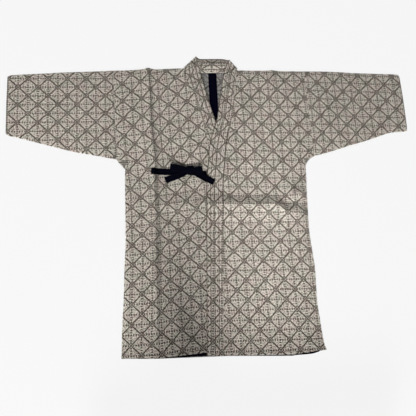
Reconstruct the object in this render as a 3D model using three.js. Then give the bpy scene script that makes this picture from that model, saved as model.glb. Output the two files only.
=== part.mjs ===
// A kendo jacket (keikogi) of thick sashiko-woven cotton, laid flat on its back, with the left front
// over the right and the outer ties in a bow. Millimetres, +Z up. X runs from the wearer's right cuff
// to the left one and Y from the hem to the collar. The origin is on the surface, under the middle.
//
// Every piece is a wall of cloth between two faces. The lower layer lies on the surface, and the upper
// one rests on it, closed along the shoulder, the sides and the sleeves' edges.

import * as THREE from 'three';

// Cloth and trim
const CLOTH = 1.6;
const BAND = 3.2;
const TAPE = 0.8;
const TIE = 1.2;
const TIE_WIDTH = 16;
const GATHERED = 12;
const SEAM = 0.35;

// How the layers rest on each other: pressed together where a fold or seam closes them, with some air
// between them elsewhere. The left front rides over the right collar, and comes down beyond it.
const PRESSED = 0.3;
const AIR = 3;
const AIR_REACH = 25;
const LAP_CLEARANCE = 0.4;
const LAP_ACROSS = { from: 12, to: 70 };
const LAP_UP = { from: 255, to: 345 };
const COLLAR_ONTO_COLLAR = { from: 85, to: 138 };
const COLLAR_DOWN = { from: 262, to: 340 };
const COLLAR_TO_NECK = { from: 340, to: 410 };

// Main sizes
const ARMHOLE_FOOT = 131;
const GUSSET_TOP = 125;
const TAPE_WIDTH = 26;
const HEM_TAPE_INSET = 1.5;
const HEM_TAPE_ENDS = 272;
const NECK_BACK = 404.3;
const GUSSET_FOOT = 98;

// Edges of the body, from the gusset down to the hem, and the pressed fold down each half
const SIDE = {
  right: [
    { y: -446, x: -292 },
    { y: -363, x: -289 },
    { y: -254, x: -282 },
    { y: -197, x: -280 },
    { y: -112, x: -275 },
    { y: 66, x: -274 },
    { y: 98, x: -272.5 },
    { y: GUSSET_TOP, x: -268 },
  ],
  left: [
    { y: -446, x: 285 },
    { y: -362, x: 277 },
    { y: -305, x: 273 },
    { y: -218, x: 275 },
    { y: -158, x: 271 },
    { y: -98, x: 267 },
    { y: -6, x: 269 },
    { y: 98, x: 272.5 },
    { y: GUSSET_TOP, x: 268 },
  ],
};
const ARMHOLE = {
  right: [{ y: ARMHOLE_FOOT, x: -297.5 }, { y: 412, x: -303 }],
  left: [{ y: ARMHOLE_FOOT, x: 301.5 }, { y: 412, x: 291 }],
};
const PRESS_LINE = {
  right: [
    { y: -446, x: -197, rise: 0.5 },
    { y: -204, x: -191, rise: 1.6 },
    { y: 4, x: -182, rise: 3.5 },
    { y: 126, x: -176, rise: 5.5 },
    { y: 245, x: -184, rise: 6.5 },
    { y: 316, x: -191, rise: 6.5 },
    { y: 419, x: -198, rise: 5 },
  ],
  left: [
    { y: -451, x: 187, rise: 0 },
    { y: 40, x: 196, rise: 0.3 },
    { y: 126, x: 198, rise: 1.8 },
    { y: 348, x: 189, rise: 2.6 },
    { y: 413, x: 187, rise: 2.4 },
  ],
};
const PRESS_REACH = 46;

// The folded shoulder edge of each half, from the neck outward
const SHOULDER = {
  right: [
    { across: 0, y: 418.5 },
    { across: 110, y: 418 },
    { across: 175, y: 415 },
    { across: 198, y: 419 },
    { across: 215, y: 412 },
    { across: 303, y: 410 },
  ],
  left: [
    { across: 0, y: 415.9 },
    { across: 110, y: 412 },
    { across: 175, y: 411 },
    { across: 187, y: 413.5 },
    { across: 215, y: 410.5 },
    { across: 303, y: 410 },
  ],
};

// The crease pressed across the left front, which bends down before it reaches the side
const CROSS_CREASE = [
  { x: 10, y: -15, rise: 0 },
  { x: 40, y: -15, rise: 2.6 },
  { x: 178, y: -17, rise: 3.2 },
  { x: 206, y: -39, rise: 3 },
  { x: 236, y: -42, rise: 2.4 },
  { x: 268, y: -31, rise: 0 },
];
const CROSS_REACH = 30;

// The collar band, from the neck to the hem of each front, where its sewn and its free edge run
const COLLAR = {
  right: [
    { seamX: -85.7, seamY: 418.5, freeX: -46.7, freeY: 455.5 },
    { seamX: -84, seamY: 396, freeX: -40, freeY: 420 },
    { seamX: -81, seamY: 380, freeX: -34, freeY: 391 },
    { seamX: -61, seamY: 341, freeX: -24, freeY: 350 },
    { seamX: -50, seamY: 293, freeX: -11, freeY: 304 },
    { seamX: -41, seamY: 260, freeX: 0, freeY: 266 },
    { seamX: -33, seamY: 225, freeX: 9, freeY: 231 },
    { seamX: -25, seamY: 185, freeX: 19, freeY: 190 },
    { seamX: -17, seamY: 140, freeX: 30, freeY: 143 },
    { seamX: -13, seamY: 95, freeX: 36, freeY: 96 },
    { seamX: -13, seamY: 50, freeX: 37, freeY: 50 },
    { seamX: -18, seamY: -148, freeX: 31, freeY: -148 },
    { seamX: -28, seamY: -434.5, freeX: 21, freeY: -434 },
  ],
  left: [
    { seamX: 77.4, seamY: 415.9, freeX: 52.4, freeY: 447.9 },
    { seamX: 75, seamY: 392, freeX: 38, freeY: 411 },
    { seamX: 68, seamY: 355, freeX: 27, freeY: 364 },
    { seamX: 63, seamY: 327, freeX: 20, freeY: 328 },
    { seamX: 57, seamY: 285, freeX: 11, freeY: 283 },
    { seamX: 52, seamY: 250, freeX: 4, freeY: 247 },
    { seamX: 46, seamY: 225, freeX: -5, freeY: 220 },
    { seamX: 39, seamY: 190, freeX: -15, freeY: 187 },
    { seamX: 33, seamY: 150, freeX: -23, freeY: 150 },
    { seamX: 28, seamY: 115, freeX: -27, freeY: 115 },
    { seamX: 19, seamY: 61, freeX: -34, freeY: 61 },
    { seamX: 13, seamY: -1, freeX: -38, freeY: -1 },
    { seamX: 5, seamY: -148, freeX: -44, freeY: -148 },
    { seamX: 0, seamY: -236, freeX: -48, freeY: -236 },
    { seamX: -10, seamY: -447, freeX: -57, freeY: -444 },
  ],
};

// The band behind the neck, between the two folds where it turns over to run down the fronts
const NECK_BAND = [
  { seamX: -70, seamY: 411, freeX: -38.5, freeY: 449.8 },
  { seamX: -56, seamY: 407, freeX: -33, freeY: 449 },
  { seamX: -36, seamY: 405, freeX: -24, freeY: 449 },
  { seamX: 0, seamY: NECK_BACK, freeX: 3, freeY: 449.5 },
  { seamX: 36, seamY: 405, freeX: 30, freeY: 450 },
  { seamX: 52, seamY: 407.5, freeX: 41, freeY: 449.5 },
  { seamX: 66, seamY: 410.5, freeX: 48, freeY: 448.5 },
];

// The sleeves, from the armhole to the cuff: their folded top edge and their sewn lower edge
const SLEEVE = {
  right: [
    { x: -297.9, topX: -303.4, top: 410, under: 128 },
    { x: -351, topX: -351, top: 408, under: 138 },
    { x: -415, topX: -415, top: 406, under: 150 },
    { x: -461, topX: -461, top: 404, under: 162 },
    { x: -506, topX: -506, top: 401, under: 175 },
    { x: -552, topX: -552, top: 399, under: 188 },
    { x: -592, topX: -590, top: 397, under: 199 },
    { x: -608, topX: -605, top: 395.5, under: 203 },
    { x: -613, topX: -612, top: 391, under: 209 },
  ],
  left: [
    { x: 301.9, topX: 291.4, top: 410, under: 128 },
    { x: 345, topX: 340, top: 410, under: 139 },
    { x: 414, topX: 405, top: 408, under: 159 },
    { x: 460, topX: 452, top: 405, under: 172 },
    { x: 506, topX: 500, top: 403.5, under: 186 },
    { x: 560, topX: 552, top: 402, under: 202 },
    { x: 592, topX: 585, top: 401, under: 204 },
    { x: 608, topX: 602, top: 400, under: 206 },
    { x: 613, topX: 610, top: 394, under: 211 },
  ],
};

// Hem of the back, whose tape shows where the fronts are shorter
const BACK_HEM = [
  { x: -292, y: -441 },
  { x: -197, y: -446 },
  { x: -58, y: -447 },
  { x: 49, y: -451 },
  { x: 187, y: -458 },
  { x: 240, y: -457 },
  { x: 285, y: -446 },
];

// The bow of the outer ties, on the right front
const KNOT = { x: -82, y: 92, wide: 23, long: 25, high: 9.6 };
const LAYER_STEP = TIE + 0.4;
const TIE_CLEARANCE = 0.8;
const KNOT_CLEARANCE = 1.2;
const LOOP_RADIUS = 1.9;

const sashiko = new THREE.MeshStandardMaterial({ color: 0x9c958a, roughness: 0.92, metalness: 0 });
const navyTape = new THREE.MeshStandardMaterial({ color: 0x0c0b1f, roughness: 0.8, metalness: 0 });
const navyTie = new THREE.MeshStandardMaterial({ color: 0x0d0e1c, roughness: 0.75, metalness: 0 });

const jacket = new THREE.Group();

const point = (x, y, z) => new THREE.Vector3(x, y, z);
const mix = THREE.MathUtils.lerp;
const ease = ({ from, to }, value) => THREE.MathUtils.smoothstep(value, from, to);
const degrees = (turns) => turns.map(THREE.MathUtils.degToRad);

// Reads one column of a table, in between its rows, at a value of its key column.
function lookUp(table, key, column, value) {
  const rows = table[0][key] < table.at(-1)[key] ? table : table.toReversed();
  const next = rows.findIndex((row) => row[key] >= value);
  if (next === 0) return rows[0][column];
  if (next < 0) return rows.at(-1)[column];
  const before = rows[next - 1];
  const share = (value - before[key]) / (rows[next][key] - before[key]);
  return mix(before[column], rows[next][column], share);
}

// A closed wall between an outer and an inner face, both grids of points with the same rows and
// columns. A ring joins the last column to the first, as round a sleeve.
function wall(outer, inner, ring = false) {
  const rows = outer.length;
  const columns = outer[0].length;
  const spans = ring ? columns : columns - 1;
  const out = (row, column) => row * columns + (column % columns);
  const into = (row, column) => rows * columns + out(row, column);
  const faces = [];
  const quad = (a, b, c, d) => faces.push(a, b, c, a, c, d);
  for (let row = 0; row < rows - 1; row++) {
    for (let column = 0; column < spans; column++) {
      const next = column + 1;
      quad(out(row, column), out(row, next), out(row + 1, next), out(row + 1, column));
      quad(into(row, column), into(row + 1, column), into(row + 1, next), into(row, next));
    }
  }
  const last = rows - 1;
  for (let column = 0; column < spans; column++) {
    const next = column + 1;
    quad(out(0, column), into(0, column), into(0, next), out(0, next));
    quad(out(last, column), out(last, next), into(last, next), into(last, column));
  }
  for (let row = 0; row < last && !ring; row++) {
    quad(out(row, 0), out(row + 1, 0), into(row + 1, 0), into(row, 0));
    quad(out(row, spans), into(row, spans), into(row + 1, spans), out(row + 1, spans));
  }
  const points = [...outer.flat(), ...inner.flat()];
  const geometry = new THREE.BufferGeometry().setFromPoints(points);
  geometry.setIndex(volume(points, faces) < 0 ? faces.toReversed() : faces);
  return geometry;
}

function volume(points, faces) {
  let six = 0;
  for (let i = 0; i < faces.length; i += 3) {
    const [a, b, c] = [points[faces[i]], points[faces[i + 1]], points[faces[i + 2]]];
    six += a.dot(b.clone().cross(c));
  }
  return six / 6;
}

function addPiece(name, geometry, material) {
  const piece = new THREE.Mesh(geometry, material);
  piece.name = name;
  jacket.add(piece);
}

// Heights of the layers

// Underside of the upper layer, at a distance from the nearest fold or seam that closes it.
function restingHeight(distance) {
  const air = 1 - Math.exp(-Math.max(distance, 0) / AIR_REACH);
  return CLOTH + PRESSED + AIR * air;
}

// A pressed fold stands up as a tent with hollow flanks.
const tent = (distance, rise, reach) => rise * Math.max(0, 1 - Math.abs(distance) / reach) ** 2;

function distanceToSide(side, x, y) {
  const inward = Math.abs(lookUp(SIDE[side], 'y', 'x', y)) - Math.abs(x);
  return Math.hypot(Math.max(inward, 0), Math.max(y - GUSSET_TOP, 0));
}

const shoulderAt = (side, x) => lookUp(SHOULDER[side], 'across', 'y', Math.abs(x));

function pressedFold(side, x, y) {
  const line = PRESS_LINE[side];
  return tent(x - lookUp(line, 'y', 'x', y), lookUp(line, 'y', 'rise', y), PRESS_REACH);
}

function frontHeight(side, x, y) {
  const distance = Math.min(distanceToSide(side, x, y), shoulderAt(side, x) - y);
  const resting = restingHeight(distance) + pressedFold(side, x, y);
  if (side === 'right') return resting;
  const fromCrease = y - lookUp(CROSS_CREASE, 'x', 'y', x);
  const crease = tent(fromCrease, lookUp(CROSS_CREASE, 'x', 'rise', x), CROSS_REACH);
  const underCollar = lookUp(COLLAR.right, 'freeY', 'freeX', y);
  const collarEdge = Math.max(underCollar, lookUp(COLLAR.left, 'seamY', 'seamX', y));
  const lapped = (1 - ease(LAP_ACROSS, x - collarEdge)) * (1 - ease(LAP_UP, y));
  return mix(resting, lapHeight, lapped) + crease;
}

// The right collar lies on the back, and the left one over the right front and its collar.
const interior = restingHeight(1000);
const lapHeight = interior + BAND + LAP_CLEARANCE;
const neckHeight = BAND + PRESSED;

const rightCollarHeight = (y) => mix(interior, neckHeight, ease(COLLAR_TO_NECK, y));

function leftCollarHeight(y, atFreeEdge) {
  const edge = mix(interior + CLOTH + LAP_CLEARANCE, lapHeight, ease(COLLAR_ONTO_COLLAR, y));
  const lap = atFreeEdge ? edge : lapHeight;
  return mix(mix(lap, interior, ease(COLLAR_DOWN, y)), neckHeight, ease(COLLAR_TO_NECK, y));
}

// Body halves

// Places across a half: from its inner edge to the pressed fold, and on to its outer edge.
const TO_PRESS = [0, 0.22, 0.44, 0.64, 0.8, 0.91, 1];
const TO_EDGE = [0.1, 0.24, 0.45, 0.7, 1];

function acrossRow({ innerX, innerY, pressX, pressY, outerX, outerY }) {
  const inner = TO_PRESS.map((share) => [mix(innerX, pressX, share), mix(innerY, pressY, share)]);
  const outer = TO_EDGE.map((share) => [mix(pressX, outerX, share), mix(pressY, outerY, share)]);
  return [...inner, ...outer];
}

const hemAt = (x) => lookUp(BACK_HEM, 'x', 'y', x);
const outerEdge = (side, y) => lookUp(y >= ARMHOLE_FOOT ? ARMHOLE[side] : SIDE[side], 'y', 'x', y);

function levelRow(side, y, innerX) {
  const pressX = lookUp(PRESS_LINE[side], 'y', 'x', y);
  return { innerX, innerY: y, pressX, pressY: y, outerX: outerEdge(side, y), outerY: y };
}

const GUSSET_ROWS = [ARMHOLE_FOOT, GUSSET_TOP];
const HEM_ROWS = {
  right: { innerX: -28.4, innerY: -434.5, pressX: -197, pressY: -445, outerX: -292, outerY: -440.5 },
  left: { innerX: -9.6, innerY: -447, pressX: 187, pressY: -453.5, outerX: 285, outerY: -443 },
};
const CREASE_ROWS = { right: [-300, -220, -70, 0], left: [-380, -310, -80, -60, -42, -30, -16, -1, 14] };
const BACK_LEVELS = [340, 240, ...GUSSET_ROWS, GUSSET_FOOT, 66, -50, -150, -254, -363];
const NECKLINE = { top: 404, drop: 7 };
const HALF_TURN = degrees([90, 45, 0, -45, -90]);

function shoulderRow(side) {
  const toward = Math.sign(PRESS_LINE[side][0].x);
  const neck = COLLAR[side][0];
  const pressX = PRESS_LINE[side].at(-1).x;
  const outerX = lookUp(ARMHOLE[side], 'y', 'x', 410);
  return { innerX: neck.seamX + toward * SEAM, innerY: 0, pressX, pressY: 0, outerX, outerY: 0 };
}

function frontRows(side) {
  const toward = Math.sign(PRESS_LINE[side][0].x);
  const seamLevels = COLLAR[side].slice(1, -1).map((station) => station.seamY);
  const levels = [...seamLevels, ...CREASE_ROWS[side], ...GUSSET_ROWS, GUSSET_FOOT].sort((a, b) => a - b);
  const innerX = (y) => lookUp(COLLAR[side], 'seamY', 'seamX', y) + toward * SEAM;
  return [HEM_ROWS[side], ...levels.map((y) => levelRow(side, y, innerX(y)))];
}

function backRows(side) {
  const toward = Math.sign(PRESS_LINE[side][0].x);
  const neckline = NECK_BAND.filter((station) => station.seamX * toward > 1);
  const ordered = side === 'right' ? neckline : neckline.toReversed();
  const curved = ordered.map((station, i) => ({
    ...levelRow(side, NECKLINE.top - NECKLINE.drop * i, station.seamX),
    innerY: station.seamY - SEAM,
  }));
  const centre = toward * SEAM / 2;
  const lowest = levelRow(side, NECKLINE.top - NECKLINE.drop * ordered.length, centre);
  const top = { ...lowest, innerY: NECK_BACK - SEAM };
  const levels = BACK_LEVELS.map((y) => levelRow(side, y, centre));
  const pressX = PRESS_LINE[side][0].x;
  const outerX = SIDE[side][0].x;
  const edge = { innerX: centre, pressX, outerX };
  const hem = { ...edge, innerY: hemAt(0), pressY: hemAt(pressX), outerY: hemAt(outerX) };
  return [...curved, top, ...levels, hem];
}

// The faces of a half: up its front, round the shoulder and down its back.
function addBodyHalf(side) {
  const outer = [];
  const inner = [];
  for (const row of frontRows(side)) {
    const heights = acrossRow(row).map(([x, y]) => [x, y, frontHeight(side, x, y)]);
    outer.push(heights.map(([x, y, z]) => point(x, y, z + CLOTH)));
    inner.push(heights.map(([x, y, z]) => point(x, y, z)));
  }
  const shoulder = acrossRow(shoulderRow(side)).map(([x]) => {
    const edge = shoulderAt(side, x);
    const radius = (frontHeight(side, x, edge) + CLOTH) / 2;
    return { x, y: edge - radius, radius };
  });
  for (const turn of HALF_TURN) {
    const round = (reach) => ({ x, y, radius }) =>
      point(x, y + (radius - reach) * Math.cos(turn), radius + (radius - reach) * Math.sin(turn));
    outer.push(shoulder.map(round(0)));
    inner.push(shoulder.map(round(CLOTH)));
  }
  for (const row of backRows(side)) {
    outer.push(acrossRow(row).map(([x, y]) => point(x, y, 0)));
    inner.push(acrossRow(row).map(([x, y]) => point(x, y, CLOTH)));
  }
  addPiece(`body_${side}`, wall(outer, inner), sashiko);
}

// Sleeves: flattened tubes, open at the armhole and the cuff
const SLEEVE_LEVELS = [0.03, 0.1, 0.24, 0.42, 0.6, 0.78, 0.92, 0.975];
const EDGE_TURNS = degrees([60, 0, -60]);

function addSleeve(side) {
  const outer = [];
  const inner = [];
  const radius = (2 * CLOTH + PRESSED) / 2;
  for (const { x, topX, top, under } of SLEEVE[side]) {
    const along = (share) => [mix(x, topX, share), mix(under, top, share)];
    const heightAt = (y) => restingHeight(Math.min(y - under, top - y) - radius);
    const ring = (reach) => {
      const up = SLEEVE_LEVELS.map(along).map(([px, y]) => point(px, y, heightAt(y) + CLOTH - reach));
      const down = SLEEVE_LEVELS.toReversed().map(along).map(([px, y]) => point(px, y, reach));
      const bend = radius - reach;
      const overTop = EDGE_TURNS.map((turn) =>
        point(topX, top - radius + bend * Math.cos(turn), radius + bend * Math.sin(turn)));
      const underArm = EDGE_TURNS.toReversed().map((turn) =>
        point(x, under + radius - bend * Math.cos(turn), radius + bend * Math.sin(turn)));
      return [...up, ...overTop, ...down, ...underArm];
    };
    outer.push(ring(0));
    inner.push(ring(CLOTH));
  }
  addPiece(`sleeve_${side}`, wall(outer, inner, true), sashiko);
}

// Gussets: a small square folded corner to corner under each arm, blunt where it runs out on the side
const GUSSET_STEPS = 10;
const GUSSET_END = 0.93;

function addGusset(side) {
  const toward = Math.sign(SIDE[side][0].x);
  const body = lookUp(SIDE[side], 'y', 'x', GUSSET_TOP) + toward * SEAM;
  const armhole = lookUp(ARMHOLE[side], 'y', 'x', ARMHOLE_FOOT) - toward * SEAM;
  const apex = new THREE.Vector2(body, GUSSET_TOP - SEAM);
  const sleeveTop = new THREE.Vector2(armhole, ARMHOLE_FOOT - SEAM);
  const sleeveEnd = new THREE.Vector2(armhole, 126.5);
  const sideEnd = new THREE.Vector2(lookUp(SIDE[side], 'y', 'x', GUSSET_FOOT) + toward * SEAM, GUSSET_FOOT);
  const fold = new THREE.QuadraticBezierCurve(sleeveEnd, new THREE.Vector2(toward * 279.5, 113), sideEnd);
  const radius = (2 * CLOTH + PRESSED) / 2;
  const outer = [];
  const inner = [];
  for (let step = 0; step <= GUSSET_STEPS; step++) {
    const share = GUSSET_END * step / GUSSET_STEPS;
    const edge = fold.getPoint(share);
    const legStart = share < 0.5 ? sleeveTop : apex;
    const legEnd = share < 0.5 ? apex : sideEnd;
    const sewn = legStart.clone().lerp(legEnd, share < 0.5 ? share * 2 : share * 2 - 1);
    const out = edge.clone().sub(sewn).normalize();
    const centre = edge.clone().addScaledVector(out, -radius);
    const line = (reach) => {
      const bend = radius - reach;
      const bends = HALF_TURN.map((turn) => {
        const place = centre.clone().addScaledVector(out, bend * Math.cos(turn));
        return point(place.x, place.y, radius + bend * Math.sin(turn));
      });
      return [point(sewn.x, sewn.y, 2 * radius - reach), ...bends, point(sewn.x, sewn.y, reach)];
    };
    outer.push(line(0));
    inner.push(line(CLOTH));
  }
  addPiece(`gusset_${side}`, wall(outer, inner), sashiko);
}

// Collar: one band from hem to hem, turned over at each side of the neck. A station holds its sewn and
// free edge along its middle surface, and the way its outer side faces.
const COLLAR_ACROSS = [0, 0.2, 1];

function collarStation(station, heightAt, facing) {
  const free = point(station.freeX, station.freeY, heightAt(station.freeY, true) + BAND / 2);
  const near = heightAt(mix(station.freeY, station.seamY, COLLAR_ACROSS[1]), false) + BAND / 2;
  const seam = point(station.seamX, station.seamY, heightAt(station.seamY, false) + BAND / 2);
  return COLLAR_ACROSS.map((share, i) => {
    const place = free.clone().lerp(seam, share);
    place.z = [free.z, near, seam.z][i];
    return { place, facing };
  });
}

function neckFold(side, turns) {
  const { seamX, seamY, freeX, freeY } = COLLAR[side][0];
  const along = point(seamX - freeX, seamY - freeY, 0).normalize();
  const outward = along.clone().cross(point(0, 0, side === 'right' ? 1 : -1));
  const radius = (BAND + PRESSED) / 2;
  const free = point(freeX, freeY, BAND / 2 + radius);
  const seam = point(seamX, seamY, BAND / 2 + radius);
  return turns.map((turn) => {
    const facing = outward.clone().multiplyScalar(Math.cos(turn));
    facing.z = Math.sin(turn);
    return COLLAR_ACROSS.map((share) => ({
      place: free.clone().lerp(seam, share).addScaledVector(facing, radius),
      facing,
    }));
  });
}

function addCollar() {
  const up = point(0, 0, 1);
  const down = point(0, 0, -1);
  const turns = degrees([90, 55, 20, -20, -55, -90]);
  const stations = [
    ...COLLAR.right.slice(1).toReversed().map((row) => collarStation(row, rightCollarHeight, up)),
    ...neckFold('right', turns),
    ...NECK_BAND.map((row) => collarStation(row, () => 0, down)),
    ...neckFold('left', turns.toReversed()),
    ...COLLAR.left.slice(1).map((row) => collarStation(row, leftCollarHeight, up)),
  ];
  const face = (reach) => stations.map((row) =>
    row.map(({ place, facing }) => place.clone().addScaledVector(facing, reach)));
  addPiece('collar', wall(face(BAND / 2), face(-BAND / 2)), sashiko);
}

// Tapes sewn inside the back: one over the centre seam, one along the hem
function addFlatStrip(name, edges, bottom, thick, material) {
  const face = (z) => edges.map(([a, b]) => [point(a[0], a[1], z), point(b[0], b[1], z)]);
  addPiece(name, wall(face(bottom + thick), face(bottom)), material);
}

function addTapes() {
  const bottom = CLOTH + PRESSED;
  const places = [-HEM_TAPE_ENDS, -197, -58, 49, 187, 240, HEM_TAPE_ENDS - 4];
  const hemEdges = places.map((x) => [
    [x, hemAt(x) + HEM_TAPE_INSET],
    [x, hemAt(x) + HEM_TAPE_INSET + TAPE_WIDTH],
  ]);
  addFlatStrip('hem_tape', hemEdges, bottom, TAPE, navyTape);
  const foot = hemAt(0) + HEM_TAPE_INSET + TAPE_WIDTH + 1;
  const levels = [NECK_BACK - 1, 309, 100, -150, foot];
  const seamEdges = levels.map((y) => [[-TAPE_WIDTH / 2, y], [TAPE_WIDTH / 2, y]]);
  addFlatStrip('centre_back_tape', seamEdges, bottom, TAPE, navyTape);
}

// A tie: a flat strip along a route, its width level and square to the route as seen from above.
function addTie(name, route, heading) {
  const outer = [];
  const inner = [];
  route.forEach((place, i) => {
    const before = route[Math.max(i - 1, 0)];
    const after = route[Math.min(i + 1, route.length - 1)];
    const along = after.at.clone().sub(before.at).normalize();
    const level = heading ?? along;
    const side = point(-level.y, level.x, 0).normalize();
    const facing = along.clone().cross(side).negate().normalize();
    const edge = (share, reach) => place.at.clone()
      .addScaledVector(side, share * place.wide / 2)
      .addScaledVector(facing, reach * TIE / 2);
    outer.push([edge(-1, 1), edge(1, 1)]);
    inner.push([edge(-1, -1), edge(1, -1)]);
  });
  addPiece(name, wall(outer, inner), navyTie);
}

// Height of the middle of a tie that lies on the jacket, above a number of ties already there.
function tieHeight(x, y, layer, overCollar = true) {
  const collarEdge = lookUp(COLLAR.left, 'freeY', 'freeX', y);
  const ontoCollar = overCollar ? ease({ from: collarEdge - 12, to: collarEdge - 2 }, x) : 0;
  const panel = frontHeight('right', Math.min(x, collarEdge), y) + CLOTH;
  const collar = lapHeight + BAND;
  return mix(panel, collar, ontoCollar) + TIE_CLEARANCE + layer * LAYER_STEP + TIE / 2;
}

// A loop of the bow: out from the knot, over at its end and back above itself.
function addLoop(name, end, layer) {
  const heading = point(end.x - KNOT.x, end.y - KNOT.y, 0);
  const length = heading.length();
  heading.normalize();
  const start = Math.hypot(KNOT.wide / 2 * heading.x, KNOT.long / 2 * heading.y) + KNOT_CLEARANCE;
  const base = tieHeight(KNOT.x, KNOT.y, layer);
  const radius = LOOP_RADIUS;
  const centre = point(KNOT.x, KNOT.y, 0);
  const leg = (away, z) => {
    const at = centre.clone().addScaledVector(heading, away).setZ(z);
    return { at, wide: TIE_WIDTH };
  };
  const bend = HALF_TURN.toReversed().map((turn) =>
    leg(length - radius + radius * Math.cos(turn), base + radius + radius * Math.sin(turn)));
  const route = [leg(start, base), leg(mix(start, length, 0.5), base - 0.1), ...bend];
  route.push(leg(mix(start, length, 0.5), base + 2 * radius + 0.8), leg(start, base + 2 * radius));
  route[0].wide = GATHERED;
  route.at(-1).wide = GATHERED;
  addTie(name, route, heading);
}

function addBow() {
  const lie = (x, y, layer, wide = TIE_WIDTH, overCollar = true) =>
    ({ at: point(x, y, tieHeight(x, y, layer, overCollar)), wide });
  const knotLeft = KNOT.x - KNOT.wide / 2 - KNOT_CLEARANCE;
  const knotRight = KNOT.x + KNOT.wide / 2 + KNOT_CLEARANCE;
  addTie('tie_right', [
    lie(-197, 91, 0),
    lie(-188, 91, 0),
    lie(-176, 91, 0),
    lie(-164, 90.5, 0),
    lie(-150, 90, 0),
    lie(-130, 90, 0),
    lie(-112, 90.5, 0),
    lie(knotLeft, 91, 0, 12),
  ]);
  const sewnAt = lookUp(COLLAR.left, 'freeY', 'freeX', 81);
  addTie('tie_left', [
    lie(sewnAt - 1.2, 81.5, 0, GATHERED, false),
    lie(sewnAt - 14, 83, 0, GATHERED, false),
    lie(sewnAt - 26, 86, 0, GATHERED, false),
    lie(knotRight, 88, 0, GATHERED, false),
  ]);
  addTie('tail_right', [
    lie(knotLeft, 87, 1, 11),
    lie(-112, 80, 1),
    lie(-128, 74, 1),
    lie(-142, 69, 0.4),
    lie(-156, 64, 0),
  ]);
  addTie('tail_left', [
    lie(knotRight, 85, 2, 11),
    lie(-58, 80, 2),
    lie(-46, 73, 1.6),
    lie(-36, 66.5, 1),
    lie(-24, 60, 0),
    lie(-13, 54, 0),
  ]);
  addLoop('loop_right', { x: -136, y: 103 }, 2);
  addLoop('loop_left', { x: -47, y: 98.5 }, 3.2);
  const knot = new THREE.SphereGeometry(0.5, 20, 12).scale(KNOT.wide, KNOT.long, KNOT.high);
  const height = frontHeight('right', KNOT.x, KNOT.y) + CLOTH + 0.4 + KNOT.high / 2;
  knot.translate(KNOT.x, KNOT.y, height);
  addPiece('knot', knot, navyTie);
}

for (const side of ['right', 'left']) {
  addBodyHalf(side);
  addSleeve(side);
  addGusset(side);
}
addCollar();
addTapes();
addBow();

export default jacket;
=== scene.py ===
"""A kendo jacket of sashiko-woven cotton, laid flat on its back, with its outer ties in a bow.

The tables hold the jacket's places in millimetres. They keep to its solids, apart from the finer creases
and soft edges that only cloth has. Every mesh is turned into metres as it is made. X runs from the
wearer's right cuff to the left one, Y from the hem to the collar, and Z up from the surface.
"""

import math
from bisect import bisect_right

import bmesh
import bpy
from mathutils import Matrix, Vector, noise


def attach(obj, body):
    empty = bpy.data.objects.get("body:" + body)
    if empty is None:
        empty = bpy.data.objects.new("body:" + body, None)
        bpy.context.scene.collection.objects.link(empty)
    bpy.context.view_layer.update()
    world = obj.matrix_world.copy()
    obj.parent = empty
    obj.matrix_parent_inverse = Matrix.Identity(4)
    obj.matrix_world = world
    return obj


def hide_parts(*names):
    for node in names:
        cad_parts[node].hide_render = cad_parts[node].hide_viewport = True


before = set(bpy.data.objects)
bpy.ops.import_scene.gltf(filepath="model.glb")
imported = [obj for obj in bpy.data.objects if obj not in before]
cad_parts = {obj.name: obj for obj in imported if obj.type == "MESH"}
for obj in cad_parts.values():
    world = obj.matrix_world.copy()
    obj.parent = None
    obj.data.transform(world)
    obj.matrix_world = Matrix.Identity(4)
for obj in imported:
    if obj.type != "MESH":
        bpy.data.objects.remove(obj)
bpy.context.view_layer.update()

MM = 0.001

# Thicknesses of the cloth, the doubled collar band and the trim, and half the gap at a seam
CLOTH = 1.6
BAND = 3.2
TAPE = 0.8
TIE = 1.2
SEAM = 0.15

# How the layers rest on each other: the gap between them at a fold, the air further in, and where the left
# front and its collar climb over the right one
PRESSED = 0.3
AIR = 3
AIR_REACH = 25
LAP_CLEARANCE = 0.4
LAP_ACROSS = (12, 70)
LAP_UP = (255, 345)
COLLAR_ONTO_COLLAR = (85, 138)
COLLAR_DOWN = (262, 340)
COLLAR_TO_NECK = (340, 410)
EDGE_RADIUS = (2 * CLOTH + PRESSED) / 2

# Main sizes
ARMHOLE_FOOT = 131
ARMHOLE_HEAD = 410
GUSSET_TOP = 125
GUSSET_FOOT = 98
TAPE_WIDTH = 26
TIE_WIDTH = 19
HEM_TAPE_INSET = 1.5
HEM_TAPE_ENDS = (-272, 268)
NECK_BACK = 404.3
TOWARD = {"right": -1, "left": 1}


def table(columns, *rows):
    return [dict(zip(columns.split(), row)) for row in rows]


SIDE = {
    "right": table("y x", (-446, -292), (-363, -289), (-254, -282), (-197, -280), (-112, -275),
                   (66, -274), (98, -272.5), (GUSSET_TOP, -268)),
    "left": table("y x", (-446, 289), (-430, 283.5), (-362, 277), (-305, 273), (-218, 275), (-158, 271),
                  (-98, 267), (-6, 269), (98, 272.5), (GUSSET_TOP, 268)),
}
ARMHOLE = {
    "right": table("y x", (ARMHOLE_FOOT, -297.5), (412, -303)),
    "left": table("y x", (ARMHOLE_FOOT, 301.5), (412, 291)),
}
SHOULDER = {
    "right": table("across y", (0, 418.5), (110, 418), (175, 415), (198, 419), (215, 412), (303, 410)),
    "left": table("across y", (0, 415.9), (110, 412), (175, 411), (187, 413.5), (215, 410.5), (303, 410)),
}
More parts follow.
